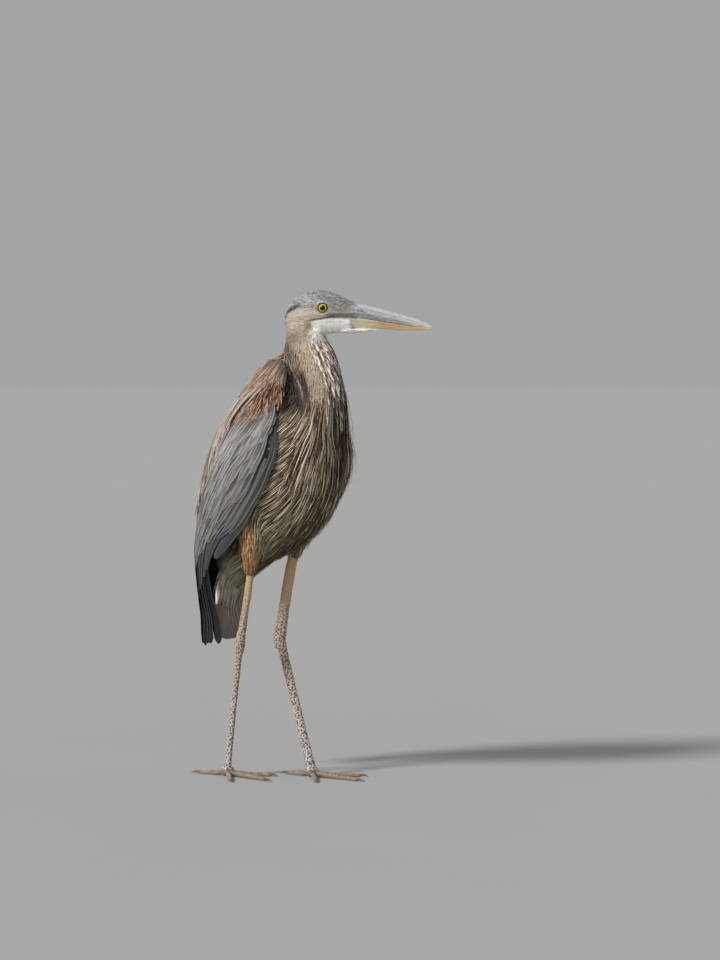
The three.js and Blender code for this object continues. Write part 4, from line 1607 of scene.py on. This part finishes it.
class HERON_OT_wings(bpy.types.Operator):
    """Makes the folded wings: flight feathers, rows of coverts, the wrist and the rust shoulder"""

    bl_idname = "heron.wings"
    bl_label = "Wings"

    def execute(self, context):
        seed = context.scene.heron_plumage.seed
        flight = vane_finish("flight feathers", 0.6)
        firm = vane_finish("wing coverts", 0.75, 0.45, 0.45)
        soft = plume_finish("shoulder plumes", 0.7, 0.55)
        for side, sign in SIDES.items():
            chance = np.random.default_rng(seed + WING_SALT + sign)
            self.rows(f"flight_feathers_{side}", FLIGHT_ROWS, side, chance, flight, [f"wing_{side}"])
            self.rows(f"coverts_{side}", COVERT_ROWS, side, chance, firm, [])
            self.wrist(side, chance, firm)
            self.shoulder(side, chance, soft)
            self.scapulars(side, chance, soft)
        return {"FINISHED"}

    def rows(self, name, rows, side, chance, finish, nodes):
        shape = Shape()
        patches, size = grid_patches(sum(row.count for row in rows))
        used = 0
        for row in rows:
            row.add(shape, side, chance, patches[used : used + row.count], size)
            used += row.count
        shape.piece(name, [finish], "wing", nodes)

    def plumes(self, name, slot, finish, side, heights, angles, outs, wide, form, colours, streaks):
        line, facing = flank_lines(side, heights, angles, outs)
        patches = on_map(spanned(angles[:, 0]), spanned(line[:, 0, 2]))
        shape = Shape()
        add_feathers(shape, line, facing, colours, streaks, patches, wide, form, thick=0.6)
        shape.piece(f"{name}_{side}", [finish], slot)

    def wrist(self, side, chance, finish):
        """Small close feathers on the bend of the wing, and the dark smooth edge below it."""
        heights, angles, outs, wide, colours = [], [], [], [], []
        along = np.linspace(0, 1, 7)
        for row, top in enumerate(range(558, 536, -5)):
            start, end = WING_EDGES(top)[0]
            for part in np.arange(0.72 + 0.02 * (row % 2), 0.92, 0.035):
                heights.append(top - (20 + 4 * chance.random()) * along)
                angles.append(start + (end - start) * (part - 0.02 * along))
                outs.append(4.6 + 1.4 * along)
                wide.append(6.0)
                grey = paint(98, 98, 101) if chance.random() < 0.7 else paint(110, 107, 104)
                colours.append(grey * (0.92 + 0.16 * chance.random()))
        for index in range(12):
            heights.append(536 - 8 * index - 62 * along)
            _, end = soft_edges(heights[-1], 24)
            angles.append(end - 4.0 + 1.5 * (along - 1))
            outs.append(1.6 + 1.6 * along + 0.06 * index)
            wide.append(13.0)
            colours.append(paint(54, 51, 58) * (0.85 + 0.3 * chance.random()))
        line, facing = flank_lines(side, np.array(heights), np.array(angles), np.array(outs))
        patches, size = grid_patches(len(line))
        colours = np.array(colours)
        vanes = {"wide": np.array(wide), "form": (0.5, 0.6, 0.25), "thick": 0.5, "size": size, "bend": 0.3}
        shape = Shape()
        add_feathers(shape, line, facing, colours, colours * 1.25, patches, cross=BROAD, **vanes)
        shape.piece(f"wrist_{side}", [finish], "wing")

    def shoulder(self, side, chance, finish):
        """Streaky rust plumes over the top of the wing, lying down and back."""
        count = SHOULDER_PLUMES
        along = np.linspace(0, 1, 6)
        top = 554 + 76 * chance.random(count)
        foremost = np.interp(top, [554, 566, 590, 618, 630], [104, 116, 132, 146, 120])
        angle = 66 + (foremost - 66) * chance.random(count)
        length = 24 + 16 * chance.random(count)
        heights = top[:, None] - 0.92 * length[:, None] * along
        angles = angle[:, None] - 0.2 * length[:, None] * along
        outs = 6.6 * along**0.7 * ease(heights, 650, 590) * (0.35 + 0.65 * ease(angles, 70, 96))
        outs = outs + ease(heights, 630, 600)
        outs = outs + (chance.random(count) * 1.2)[:, None]
        luck = chance.random((count, 1))
        rust = ease(angle, 98, 108) * band(top, 573, 616, 7)
        plain = pick(luck, (0.5, paint(128, 112, 98)), paint(156, 140, 125))
        vivid = pick(luck, (0.4, paint(48, 35, 28)), (0.8, paint(98, 61, 42)), paint(170, 132, 104))
        dark = (0.35, paint(80, 60, 48))
        streaks = pick(luck, dark, (0.6, paint(140, 94, 66)), paint(204, 174, 146))
        wide = 2.5 + 1.3 * chance.random(count)
        coat = (wide, (0.4, 0.4, 0.1), blend(plain, vivid, rust), streaks)
        self.plumes("shoulder", "thigh", finish, side, heights, angles, outs, *coat)

    def scapulars(self, side, chance, finish):
        """Long plumes from the mantle that cover the wing's back edge."""
        count = SCAPULARS
        along = np.linspace(0, 1, 11)
        top = 500 + 118 * chance.random(count) ** 0.8
        length = np.interp(top, [500, 560, 630], [112, 104, 66]) * (0.8 + 0.4 * chance.random(count))
        across = chance.random((count, 1))
        heights = top[:, None] - length[:, None] * along
        start, end = soft_edges(heights, 0)
        begin = start * (0.1 + 1.15 * across)
        reached = np.maximum(start + (end - start) * (0.55 * across - 0.04), 3)
        angles = begin + (reached - begin) * along**0.8
        outs = 0.4 + 7.6 * ease(angles, start - 6, start + 16) * ease(heights, 625, 570)
        outs = outs + (chance.random(count) * 1.4)[:, None] + 1.2 * along
        luck = chance.random((count, 1))
        brown = (0.3, paint(130, 115, 102))
        colours = pick(luck, brown, (0.7, paint(156, 141, 127)), paint(176, 164, 152))
        streaks = pick(luck, (0.4, paint(100, 88, 78)), paint(204, 194, 182))
        wide = 3.0 + 2.0 * chance.random(count)
        coat = (wide, (0.35, 0.35, 0.06), colours, streaks)
        self.plumes("scapulars", "body", finish, side, heights, angles, outs, *coat)


# ---- Breast plumes and tail ----


PLUME_SPACING, PLUME_STEPS = 4.0, 8


def plume_roots(places):
    """Where the long plumes of the breast grow."""
    spot = Spot(places)
    front = spot.fore > -6 + 10 * ease(spot.height, 560, 600)
    return (spot.height > 488) & (spot.height < 606) & front & (spot.ahead > 84)


def plume_flow(places):
    """Down, and back at the sides."""
    lean = 0.45 * ease(np.abs(BODY.into(places)[:, 1]), 8, 40)
    return BODY.turned(np.stack([-lean, 0 * lean, 0 * lean - 1], -1))


class HERON_OT_breast_plumes(bpy.types.Operator):
    """Hangs long thin plumes from the lower neck over the breast"""

    bl_idname = "heron.breast_plumes"
    bl_label = "Breast plumes"

    def execute(self, context):
        chance = np.random.default_rng(context.scene.heron_plumage.seed + PLUME_SALT)
        roots = Bird.skin.scatter(PLUME_SPACING, plume_roots, chance)
        count = len(roots)
        spot = Spot(roots)
        lengths = np.interp(spot.height, [488, 540, 606], [64, 88, 92])
        lengths = lengths * (0.7 + 0.5 * chance.random(count))
        loose = 0.25 + 0.6 * chance.random(count)
        depth = 6.0 + 1.5 * chance.random(count) + 9 * chance.random(count) ** 5
        line, facing = lay_lines(Bird.skin, roots, lengths, PLUME_STEPS, plume_flow, depth, loose)
        along = np.linspace(0, 1, PLUME_STEPS + 1)[:, None]
        sway = (chance.random((count, 1, 1)) - 0.5) * along**2 * 7
        line = line + np.cross(facing, UP) * sway
        luck = chance.random((count, 1))
        dark = (0.4, paint(58, 46, 37))
        colours = pick(luck, dark, (0.78, paint(116, 98, 82)), paint(204, 186, 164))
        dark = (0.4, paint(98, 82, 66))
        streaks = pick(luck, dark, (0.78, paint(206, 188, 168)), paint(250, 236, 216))
        # painted shade: plumes at the breast's front middle darkened, as it is turned from the light
        shade = (1 - 0.4 * ease(spot.angle, 168, 178))[:, None]
        colours, streaks = colours * shade, streaks * shade
        wide = 1.7 + 1.3 * chance.random(count)
        vanes = {"wide": wide, "form": (0.5, 0.3, 0.05), "thick": 0.25}
        shape = Shape()
        add_feathers(shape, line, facing, colours, streaks, unwrapped(roots), **vanes)
        shape.piece("breast_plumes", [plume_finish("breast plumes", 0.9)], "neck")
        return {"FINISHED"}


TAIL_FEATHERS = 12
TAIL_PLUMES = 520
TUFT = 30  # how many of them are the white tufts at the tail's sides


class HERON_OT_tail(bpy.types.Operator):
    """Makes the closed tail: twelve broad feathers with loose pale plumes over their roots"""

    bl_idname = "heron.tail"
    bl_label = "Tail"

    def execute(self, context):
        chance = np.random.default_rng(context.scene.heron_plumage.seed + TAIL_SALT)
        self.feathers(chance)
        self.loose_plumes(chance)
        return {"FINISHED"}

    def feathers(self, chance):
        along = np.linspace(0, 1, 15)
        order = np.linspace(-1, 1, TAIL_FEATHERS)[:, None]
        height = 330 - (128 - 6 * order**2) * along
        level = 0 * height
        aside = order * (12 + 13 * ease(along, 0, 0.8))
        ahead = -95 + 9 * along - 2.2 * (1 - np.abs(order)) + 5 * order**2 * along
        line = BODY.out(np.stack([ahead, aside, height], -1))
        facing = BODY.turned(np.stack([1 + level, level - 0.12 * order, 0.07 + level], -1))
        grey = paint(132, 124, 116) * (0.92 + 0.16 * chance.random((TAIL_FEATHERS, 1)))
        colours = grey[:, None] * (0.78 + 0.22 * ease(1 - along, 0.1, 0.7))[:, None]
        edges = np.tile(paint(188, 178, 164), (TAIL_FEATHERS, 1))
        patches, size = grid_patches(TAIL_FEATHERS)
        vanes = {"wide": 23, "form": (0.4, 0.6, 0.45), "thick": 0.6, "size": size, "bend": 0.2}
        shape = Shape()
        add_feathers(shape, line, unit(facing), colours, edges, patches, cross=BROAD, **vanes)
        shape.piece("tail_feathers", [vane_finish("tail feathers", 0.5)], "tail", ["tail"])

    def loose_plumes(self, chance):
        """Soft pale feathers under the tail's root, white at the sides."""
        count = TAIL_PLUMES
        along = np.linspace(0, 1, 7)
        aside = (chance.random(count) * 2 - 1) * 30
        top = 300 + 34 * chance.random(count)
        length = 34 + 26 * chance.random(count) - 0.3 * np.abs(aside)
        height = top[:, None] - length[:, None] * along
        level = 0 * height
        ahead = -66 - 0.42 * (320 - top)[:, None] - 15 * along + (chance.random(count) * 5)[:, None]
        tuft = np.arange(count) < TUFT
        aside = np.where(tuft, np.where(aside > 0, 31, -38.5) + aside / 14, aside * 1.15)
        height = np.where(tuft[:, None], 298 - 0.3 * (334 - top)[:, None] - 30 * along, height)
        ahead = np.where(tuft[:, None], -71 - 4 * along + level, ahead)
        wander = aside[:, None] * (1 + 0.05 * along)
        line = BODY.out(np.stack([ahead, wander, height], -1))
        facing = BODY.turned(np.stack([1 + level, wander / 60, 0.25 + level], -1))
        colours, streaks = blend(VENT, CHALK, tuft), blend(VENT_PALE, CHALK, tuft)
        wide = 3.6 + 2.0 * chance.random(count)
        patches = np.stack([0.5 + aside / 86, (top - 300) / 35 + 0.015], -1)
        vanes = {"wide": wide, "form": (0.4, 0.35, 0.1), "thick": 0.5}
        shape = Shape()
        add_feathers(shape, line, unit(facing), colours, streaks, patches, **vanes)
        shape.piece("under_tail_plumes", [plume_finish("under-tail plumes", 0.6)], "tail")


# ---- Bill, eyes and claws ----

# Distance along the head, lowest, mouth line and highest, all down from the crown, and half width.
BILL = stations(
    [
        [79, 57.8, 42.6, 16.3, 12.0],
        [86, 57.3, 42.9, 19.2, 10.5],
        [101, 57.3, 43.6, 23.4, 8.6],
        [125, 58.4, 47.6, 29, 6.6],
        [155, 60.2, 52, 37.6, 4.4],
        [182, 60.2, 55.2, 45.6, 2.6],
        [198, 59, 56.4, 52, 1.3],
        [203, 57.4, 56.8, 56, 0.5],
    ]
)
BILL_ENDS = (79.5, 203.0)
BILL_RINGS, BILL_SIDES = 110, 41
EYE_RADIUS, EYE_BULGE = 8.4, 0.55
EYE_SHOWS = 6.9  # radius of the part that shows between the lids
EYE_RINGS, EYE_TURNS = 60, 72
POLE = 0.004  # angle left open round each pole of an eye, for its flat cap


class HERON_OT_bill(bpy.types.Operator):
    """Makes both halves of the bill, with the groove that holds the nostril"""

    bl_idname = "heron.bill"
    bl_label = "Bill"

    def execute(self, context):
        bare = context.scene.heron_bare
        upper, lower = np.array(bare.upper_bill), np.array(bare.lower_bill)
        stops = [(0.0, upper * 0.95), (0.45, upper), (0.8, paint(176, 176, 170)), (1.0, paint(206, 196, 176))]
        upper_horn = horn_finish("upper bill horn", stops, paint(192, 198, 204), 0.9)
        stops = [(0.0, paint(228, 220, 196)), (0.2, paint(224, 206, 164)), (0.4, lower), (0.8, lower)]
        stops.append((1.0, paint(226, 200, 160)))
        lower_horn = horn_finish("lower bill horn", stops, paint(232, 220, 190), 0.25)
        self.half_bill("bill_upper", 1, upper_horn)
        self.half_bill("bill_lower", -1, lower_horn)
        return {"FINISHED"}

    def half_bill(self, name, way, finish):
        part = np.linspace(0, 1, BILL_RINGS)[:, None] ** 0.94
        start, end = BILL_ENDS
        forward = start + (end - start) * part
        low, mouth, high, half = BILL(forward[:, 0]).T[..., None]
        turn = np.linspace(0, math.pi, BILL_SIDES)
        vault = np.sin(turn) + 0 * part
        tuck = 0.95 + 0.05 * ease(forward, 79.5, 84)
        reach = np.abs((high if way > 0 else low) - mouth) * tuck
        aside = np.cos(turn) * half * (1 - 0.3 * vault) * tuck
        if way > 0:
            groove = band(forward, 84, 140, 5) * band(vault, 0.5, 0.68, 0.12)
            nostril = band(forward, 90, 101, 1.6) * band(vault, 0.5, 0.6, 0.05)
            aside = aside - np.sign(aside) * (1.0 * groove + 1.6 * nostril)
        else:
            groove = band(forward, 90, 180, 8) * band(vault, 0.35, 0.45, 0.1)
            aside = aside - np.sign(aside) * 0.3 * groove
        down = mouth - way * (vault * reach + 0.15)
        points = HEAD.out(np.stack([forward + 0 * vault, aside, CROWN - down], -1)).reshape(-1, 3)
        index = np.arange(BILL_RINGS * BILL_SIDES).reshape(BILL_RINGS, BILL_SIDES)
        flat = np.stack([index[:-1, -1], index[:-1, 0], index[1:, 0], index[1:, -1]], -1)
        faces = [face[:, ::way] for face in (sheet(index), flat, index[:1, ::-1], index[-1:])]
        self.root_feathers(name, points, faces[0] if way > 0 else sheet(index)[:, ::-1], way)
        vane = np.stack([aside / half.max(), part + 0 * vault, vault], -1)
        shape = Shape()
        shape.add(points, faces, vane=vane)
        shape.piece(f"{name}_horn", [finish], name, [name])

    def root_feathers(self, name, points, faces, way):
        """Short feathers of the face that run out unevenly over the root of the bill."""

        def near_face(spot):
            wedge = 5 * band(spot.down, 27, 37, 4) + 3 * fade(spot.down, 18, 26)
            return spot.along < 82 + wedge + 1.6 * np.sin(spot.down * 2.1 + 3 * way)

        feathers = Coat(
            slot="crown",
            wanted=near_face,
            salt=30 + way,
            spacing=1.1,
            length=6.0,
            width=0.9,
            steps=3,
            thick=0.1,
            root=0.75,
            loose=0.3,
            deep=0.9,
        )
        feathers.lay(f"{name}_feathers", Surface(points, faces, Bird.skin))


class HERON_OT_eyes(bpy.types.Operator):
    """Makes the eyeballs, with a slightly bulging clear front"""

    bl_idname = "heron.eyes"
    bl_label = "Eyes"

    def execute(self, context):
        iris = np.array(context.scene.heron_bare.iris)
        tilt = np.linspace(POLE, math.pi - POLE, EYE_RINGS)
        radii = EYE_RADIUS * np.sin(tilt)
        front = np.cos(tilt) > 0
        offsets = EYE_RADIUS * np.cos(tilt) + EYE_BULGE * fade(radii, 0, 6.4) * front
        where = np.repeat(np.where(front, radii / EYE_SHOWS, 1.2), EYE_TURNS)
        index = np.arange(EYE_RINGS * EYE_TURNS).reshape(EYE_RINGS, EYE_TURNS)
        for side in SIDES:
            points, faces, ring, turn = revolve(*eye_frame(side), radii, offsets, EYE_TURNS)
            faces = [faces[:, ::-1], index[:1], index[-1:, ::-1]]
            shape = Shape()
            shape.add(points, faces, vane=np.stack([where, turn, ring], -1))
            shape.piece(f"eyeball_{side}", [eye_finish(side, iris)], "eye", [f"eye_{side}"])
        return {"FINISHED"}


# Where each foot stands in the bird's frame, and the way each toe points, from straight ahead.
FEET = {
    "right": ([-56, -38], {"middle": -5, "inner": 32, "outer": -42, "hind": 192}),
    "left": ([48, 38], {"middle": 4, "inner": -42, "outer": 40, "hind": 182}),
}
# Each toe's length, its claw's length and the claw's radius where it leaves the toe.
CLAWS = {"middle": (86, 15, 2.1), "inner": (66, 13, 2.0), "outer": (72, 13, 2.0), "hind": (48, 18, 2.1)}
CLAW_RINGS, CLAW_SIDES = 16, 14
CLAW_FLOOR = 0.25  # lowest a claw reaches


def toe_axes(angle):
    """The way a toe points and the way to its left."""
    cos, sin = math.cos(angle * DEGREE), math.sin(angle * DEGREE)
    return np.array([cos, sin, 0]), np.array([-sin, cos, 0])


class HERON_OT_claws(bpy.types.Operator):
    """Makes the curved claws"""

    bl_idname = "heron.claws"
    bl_label = "Claws"

    def execute(self, context):
        finish = claw_finish()
        for side, (foot, toes) in FEET.items():
            shape = Shape()
            for toe, angle in toes.items():
                self.claw(shape, np.array([*foot, 0]), angle, *CLAWS[toe])
            shape.piece(f"claws_{side}", [finish], "claw", [f"claw_{side}_{toe}" for toe in toes])
        return {"FINISHED"}

    def claw(self, shape, foot, angle, length, reach, thick):
        part = np.linspace(0, 1, CLAW_RINGS)
        out = length - 1.5 + (reach + 1.5) * part
        height = 2.5 + 1.2 * np.sin(math.pi * part) - 1.9 * part**2
        radius = thick * (1 - part) ** 0.75 + 0.18
        heading, left = toe_axes(angle)
        turn = np.linspace(0, FULL_TURN, CLAW_SIDES, endpoint=False)[:, None]
        centres = foot + out[:, None] * heading + height[:, None] * UP
        wheel = np.cos(turn) * left * 0.8 + np.sin(turn) * UP
        points = centres[:, None] + radius[:, None, None] * wheel
        points[..., 2] = np.maximum(points[..., 2], CLAW_FLOOR)
        index = np.arange(CLAW_RINGS * CLAW_SIDES).reshape(CLAW_RINGS, CLAW_SIDES)
        shape.add(BODY.out(points), [tube(index), index[:1, ::-1], index[-1:]])


# ---- Scales ----

TOE_RADII = {"middle": (4.3, 2.9), "inner": (4.0, 2.8), "outer": (4.0, 2.8), "hind": (3.8, 2.7)}
SCALE_TOPS = {"right": 312, "left": 340}  # the legs' scales run up under the thighs' feathers
SCALE_FOOT = 9
PLATE_SPACING, PLATE_RADIUS = 2.5, 1.55
PLATE_TOP = 0.74  # how wide a plate's flat top is, as a part of its rim
PLATE_SUNK, PLATE_RISE, PLATE_PEAK = 0.25, 0.34, 0.5
SPOT_SPACING = 3.7  # between the dark plates
BAND_WIDTH, BAND_STEP, BAND_ARC = 2.5, 2.6, 72 * DEGREE
PLATE_SIDES = 6
PLATE_POINTS = 2 * PLATE_SIDES + 1


class HERON_OT_scales(bpy.types.Operator):
    """Covers the bare legs in small domed scales and the toes in bands"""

    bl_idname = "heron.scales"
    bl_label = "Scales"

    def execute(self, context):
        bare, seed = context.scene.heron_bare, context.scene.heron_plumage.seed
        shin, grey = np.array(bare.shin), np.array(bare.foot)
        finish = plate_finish()
        for side, (foot, toes) in FEET.items():
            chance = np.random.default_rng(seed + SCALE_SALT + SIDES[side])
            self.plates(side, foot, chance, finish, shin)
            self.bands(side, foot, toes, chance, finish, grey)
        return {"FINISHED"}

    def plates(self, side, foot, chance, finish, shin):
        """Six-sided domed plates all over the leg, from under the thigh's feathers to the foot."""
        surface, top = Bird.legs[side], SCALE_TOPS[side]

        def wanted(places):
            off = np.linalg.norm(BODY.into(places)[:, :2] - foot, axis=1)
            height = places[:, 2]
            return (height < top) & ((height > 22) | ((off < 9) & (height > SCALE_FOOT)))

        roots = surface.scatter(PLATE_SPACING, wanted, chance)
        place, normal = surface.settle(roots)
        count = len(roots)
        down = unit(-UP - normal * (-UP * normal).sum(1, keepdims=True))
        across = np.cross(normal, down)
        turn = np.arange(PLATE_SIDES) * math.pi / 3 + math.pi / 6
        size = PLATE_RADIUS * (0.9 + 0.2 * chance.random(count))[:, None]
        rim = across[:, None] * (np.cos(turn) * size)[..., None]
        rim = rim + down[:, None] * (np.sin(turn) * 1.12 * size)[..., None]
        up = normal[:, None]
        base = place[:, None] + rim - up * PLATE_SUNK
        shelf = place[:, None] + rim * PLATE_TOP + up * PLATE_RISE
        points = np.concatenate([base, shelf, place[:, None] + up * PLATE_PEAK], 1)
        lie = np.concatenate([rim + up * 0.6, rim * 0.5 + up * 1.5, up], 1)
        spokes = np.concatenate([rim, rim * PLATE_TOP, 0 * up], 1) * MM
        flat = [(spokes * across[:, None]).sum(-1), -(spokes * down[:, None]).sum(-1)]
        patch = self.map_places(surface, place, top)[:, None] + np.stack(flat, -1)
        colours = self.plate_colours(shin, roots, place[:, 2], chance)
        start = (np.arange(count) * PLATE_POINTS)[:, None]
        ring = np.arange(PLATE_SIDES)
        after = np.roll(ring, -1)
        walls = np.stack([ring, after, after + PLATE_SIDES, ring + PLATE_SIDES], -1)
        roof = np.stack([ring + PLATE_SIDES, after + PLATE_SIDES, PLATE_POINTS - 1 + 0 * ring], -1)
        walls = (start[..., None] + walls).reshape(-1, 4)[:, ::-1]
        roof = (start[..., None] + roof).reshape(-1, 3)[:, ::-1]
        shape = Shape()
        shape.add(points, [walls, roof, start + ring], plumage=colours, patch=patch, lie=lie)
        shape.piece(f"leg_scales_{side}", [finish], "scales")

    def plate_colours(self, shin, roots, height, chance):
        """Straw on the shin, paler below with dark spots."""
        low = fade(height, 225, 300)
        pale = blend(shin * 0.85, paint(190, 170, 152), low)
        pale = blend(pale, paint(196, 194, 190), fade(height, 40, 190))
        dark = np.zeros(len(roots))
        dark[spread(roots, SPOT_SPACING)] = 1
        dark = dark * ease(300 - height, 0, 90)
        pale = blend(pale, paint(66, 50, 44), 0.9 * dark)
        pale = pale * (0.9 + 0.2 * chance.random(len(roots)))[:, None]
        colours = np.repeat(pale[:, None], PLATE_POINTS, 1)
        colours[:, :PLATE_SIDES] *= (0.95 - 0.15 * low)[:, None, None]
        return colours

    def map_places(self, surface, place, top):
        """Places on an unwrap of the leg round its middle line."""
        levels = np.arange(0, 360, 12.0)
        near = [np.abs(surface.points[:, 2] - level) < 8 for level in levels]
        centres = [surface.points[part, :2].mean(0) if part.any() else np.zeros(2) for part in near]
        centre = np.array([np.interp(place[:, 2], levels, line) for line in np.array(centres).T])
        off = place[:, :2] - centre.T
        around = np.arctan2(off[:, 1], off[:, 0]) / FULL_TURN + 0.5
        return on_map(around, (place[:, 2] - SCALE_FOOT) / (top - SCALE_FOOT))

    def bands(self, side, foot, toes, chance, finish, grey):
        """Narrow plates across the top of each toe."""
        lines, facings, patches = [], [], []
        arc = np.linspace(-BAND_ARC, BAND_ARC, 7)[:, None]
        for row, (toe, angle) in enumerate(toes.items()):
            length = CLAWS[toe][0]
            root, tip = TOE_RADII[toe]
            heading, left = toe_axes(angle)
            ring = np.sin(arc) * left + np.cos(arc) * UP
            for out in np.arange(9, length - 1.5, BAND_STEP):
                part = out / length
                height = np.interp(part, [0, 0.35, 1], [6.5, root - 0.3, tip - 0.7])
                radius = (root + (tip - root) * part) * min(1, 0.62 + 1.9 * part)
                centre = np.array([*foot, 0]) + heading * out + height * UP
                lines.append(BODY.out(centre + ring * (radius + 0.5)))
                facings.append(BODY.turned(ring))
                patches.append([0.1 + 0.8 * part, 0.125 + 0.25 * row])
        facing = np.array(facings)
        place, _ = Bird.legs[side].settle(np.array(lines).reshape(-1, 3))
        line = place.reshape(facing.shape) + facing * 0.12
        colours = grey * (0.6 + 0.8 * chance.random((len(line), 1)))
        vanes = {"wide": BAND_WIDTH, "form": (0.75, 0.3, 0.7), "thick": 0.45}
        shape = Shape()
        add_feathers(shape, line, facing, colours, colours, np.array(patches), **vanes)
        shape.piece(f"toe_scales_{side}", [finish], "toes")


# ---- Stage ----

AIM = Vector((0.0753, 0.001, 0.447))  # where the camera looks, in metres like the two lengths below
FLOOR_REACH = 20
CAMERA_SIGHT = (0.1, 100)
KEY_WAY = Vector((-1.05, -0.7, 1.0))  # the way to the key light
FILL_WAY = Vector((-0.1, -1.0, 0.12))
ROOM_COLOUR = (0.97, 0.985, 1.0, 1)


def aimed(way):
    """The turn of a lamp or a camera that looks that way."""
    return way.to_track_quat("-Z", "Y").to_euler()


class HERON_OT_stage(bpy.types.Operator):
    """Lays the floor, hangs the lamps and sets up the camera"""

    bl_idname = "heron.stage"
    bl_label = "Stage"

    def execute(self, context):
        stage = context.scene.heron_stage
        self.floor(np.array(stage.floor))
        self.light("key light", KEY_WAY, 12, stage.key, (1.0, 0.97, 0.93))
        self.light("fill light", FILL_WAY, 70, stage.fill, (0.93, 0.96, 1.0))
        world = bpy.data.worlds.new("studio")
        world.use_nodes = True
        background = world.node_tree.nodes["Background"]
        background.inputs["Color"].default_value = ROOM_COLOUR
        background.inputs["Strength"].default_value = stage.room
        context.scene.world = world
        context.scene.view_settings.view_transform = "Standard"
        self.camera(context.scene, stage)
        return {"FINISHED"}

    def floor(self, colour):
        finish = Finish("studio floor", Roughness=0.75, Specular_IOR_Level=0.2)
        grain = finish.noise(finish.place(), 3.0, 3.0)
        finish.feed("Base Color", finish.mix(grain, colour * 0.98, colour * 1.02))
        shape = Shape()
        corners = np.array([[-1, -1, 0], [1, -1, 0], [1, 1, 0], [-1, 1, 0]])
        shape.add(corners * FLOOR_REACH / MM, [[[0, 1, 2, 3]]])
        placed("studio_floor", shape.mesh("studio_floor", [finish.material]))

    def light(self, name, way, width, strength, colour):
        """A far soft light, as many degrees wide as width says."""
        light = bpy.data.lights.new(name, "SUN")
        light.angle = width * DEGREE
        light.energy = strength
        light.color = colour
        placed(name, light).rotation_euler = aimed(-way)

    def camera(self, scene, stage):
        data = bpy.data.cameras.new("camera")
        data.lens = data.sensor_width * stage.distance / stage.view_height
        data.clip_start, data.clip_end = CAMERA_SIGHT
        back = Vector((0, -math.cos(stage.elevation), math.sin(stage.elevation)))
        scene.camera = placed("camera", data)
        scene.camera.location = AIM + back * stage.distance
        scene.camera.rotation_euler = aimed(-back)


class HERON_PT_sidebar(bpy.types.Panel):
    """Lists the steps in which the heron is made"""

    bl_idname = "HERON_PT_sidebar"
    bl_label = "Young Great Blue Heron"
    bl_space_type = "VIEW_3D"
    bl_region_type = "UI"
    bl_category = "Heron"

    def draw(self, context):
        for step in STEPS:
            self.layout.operator(step.bl_idname)


STEPS = (
    HERON_OT_stage,
    HERON_OT_skin,
    HERON_OT_head_coat,
    HERON_OT_neck_coat,
    HERON_OT_trunk_coat,
    HERON_OT_wings,
    HERON_OT_breast_plumes,
    HERON_OT_tail,
    HERON_OT_bill,
    HERON_OT_eyes,
    HERON_OT_claws,
    HERON_OT_scales,
)
CLASSES = (HeronPlumage, HeronBareParts, HeronStage, *STEPS, HERON_PT_sidebar)


def register():
    for cls in CLASSES:
        bpy.utils.register_class(cls)
    bpy.types.Scene.heron_plumage = bpy.props.PointerProperty(type=HeronPlumage)
    bpy.types.Scene.heron_bare = bpy.props.PointerProperty(type=HeronBareParts)
    bpy.types.Scene.heron_stage = bpy.props.PointerProperty(type=HeronStage)


def unregister():
    del bpy.types.Scene.heron_stage
    del bpy.types.Scene.heron_bare
    del bpy.types.Scene.heron_plumage
    for cls in reversed(CLASSES):
        bpy.utils.unregister_class(cls)


def main():
    register()
    for step in STEPS:
        family, name = step.bl_idname.split(".")
        getattr(getattr(bpy.ops, family), name)()


if __name__ == "__main__":
    main()
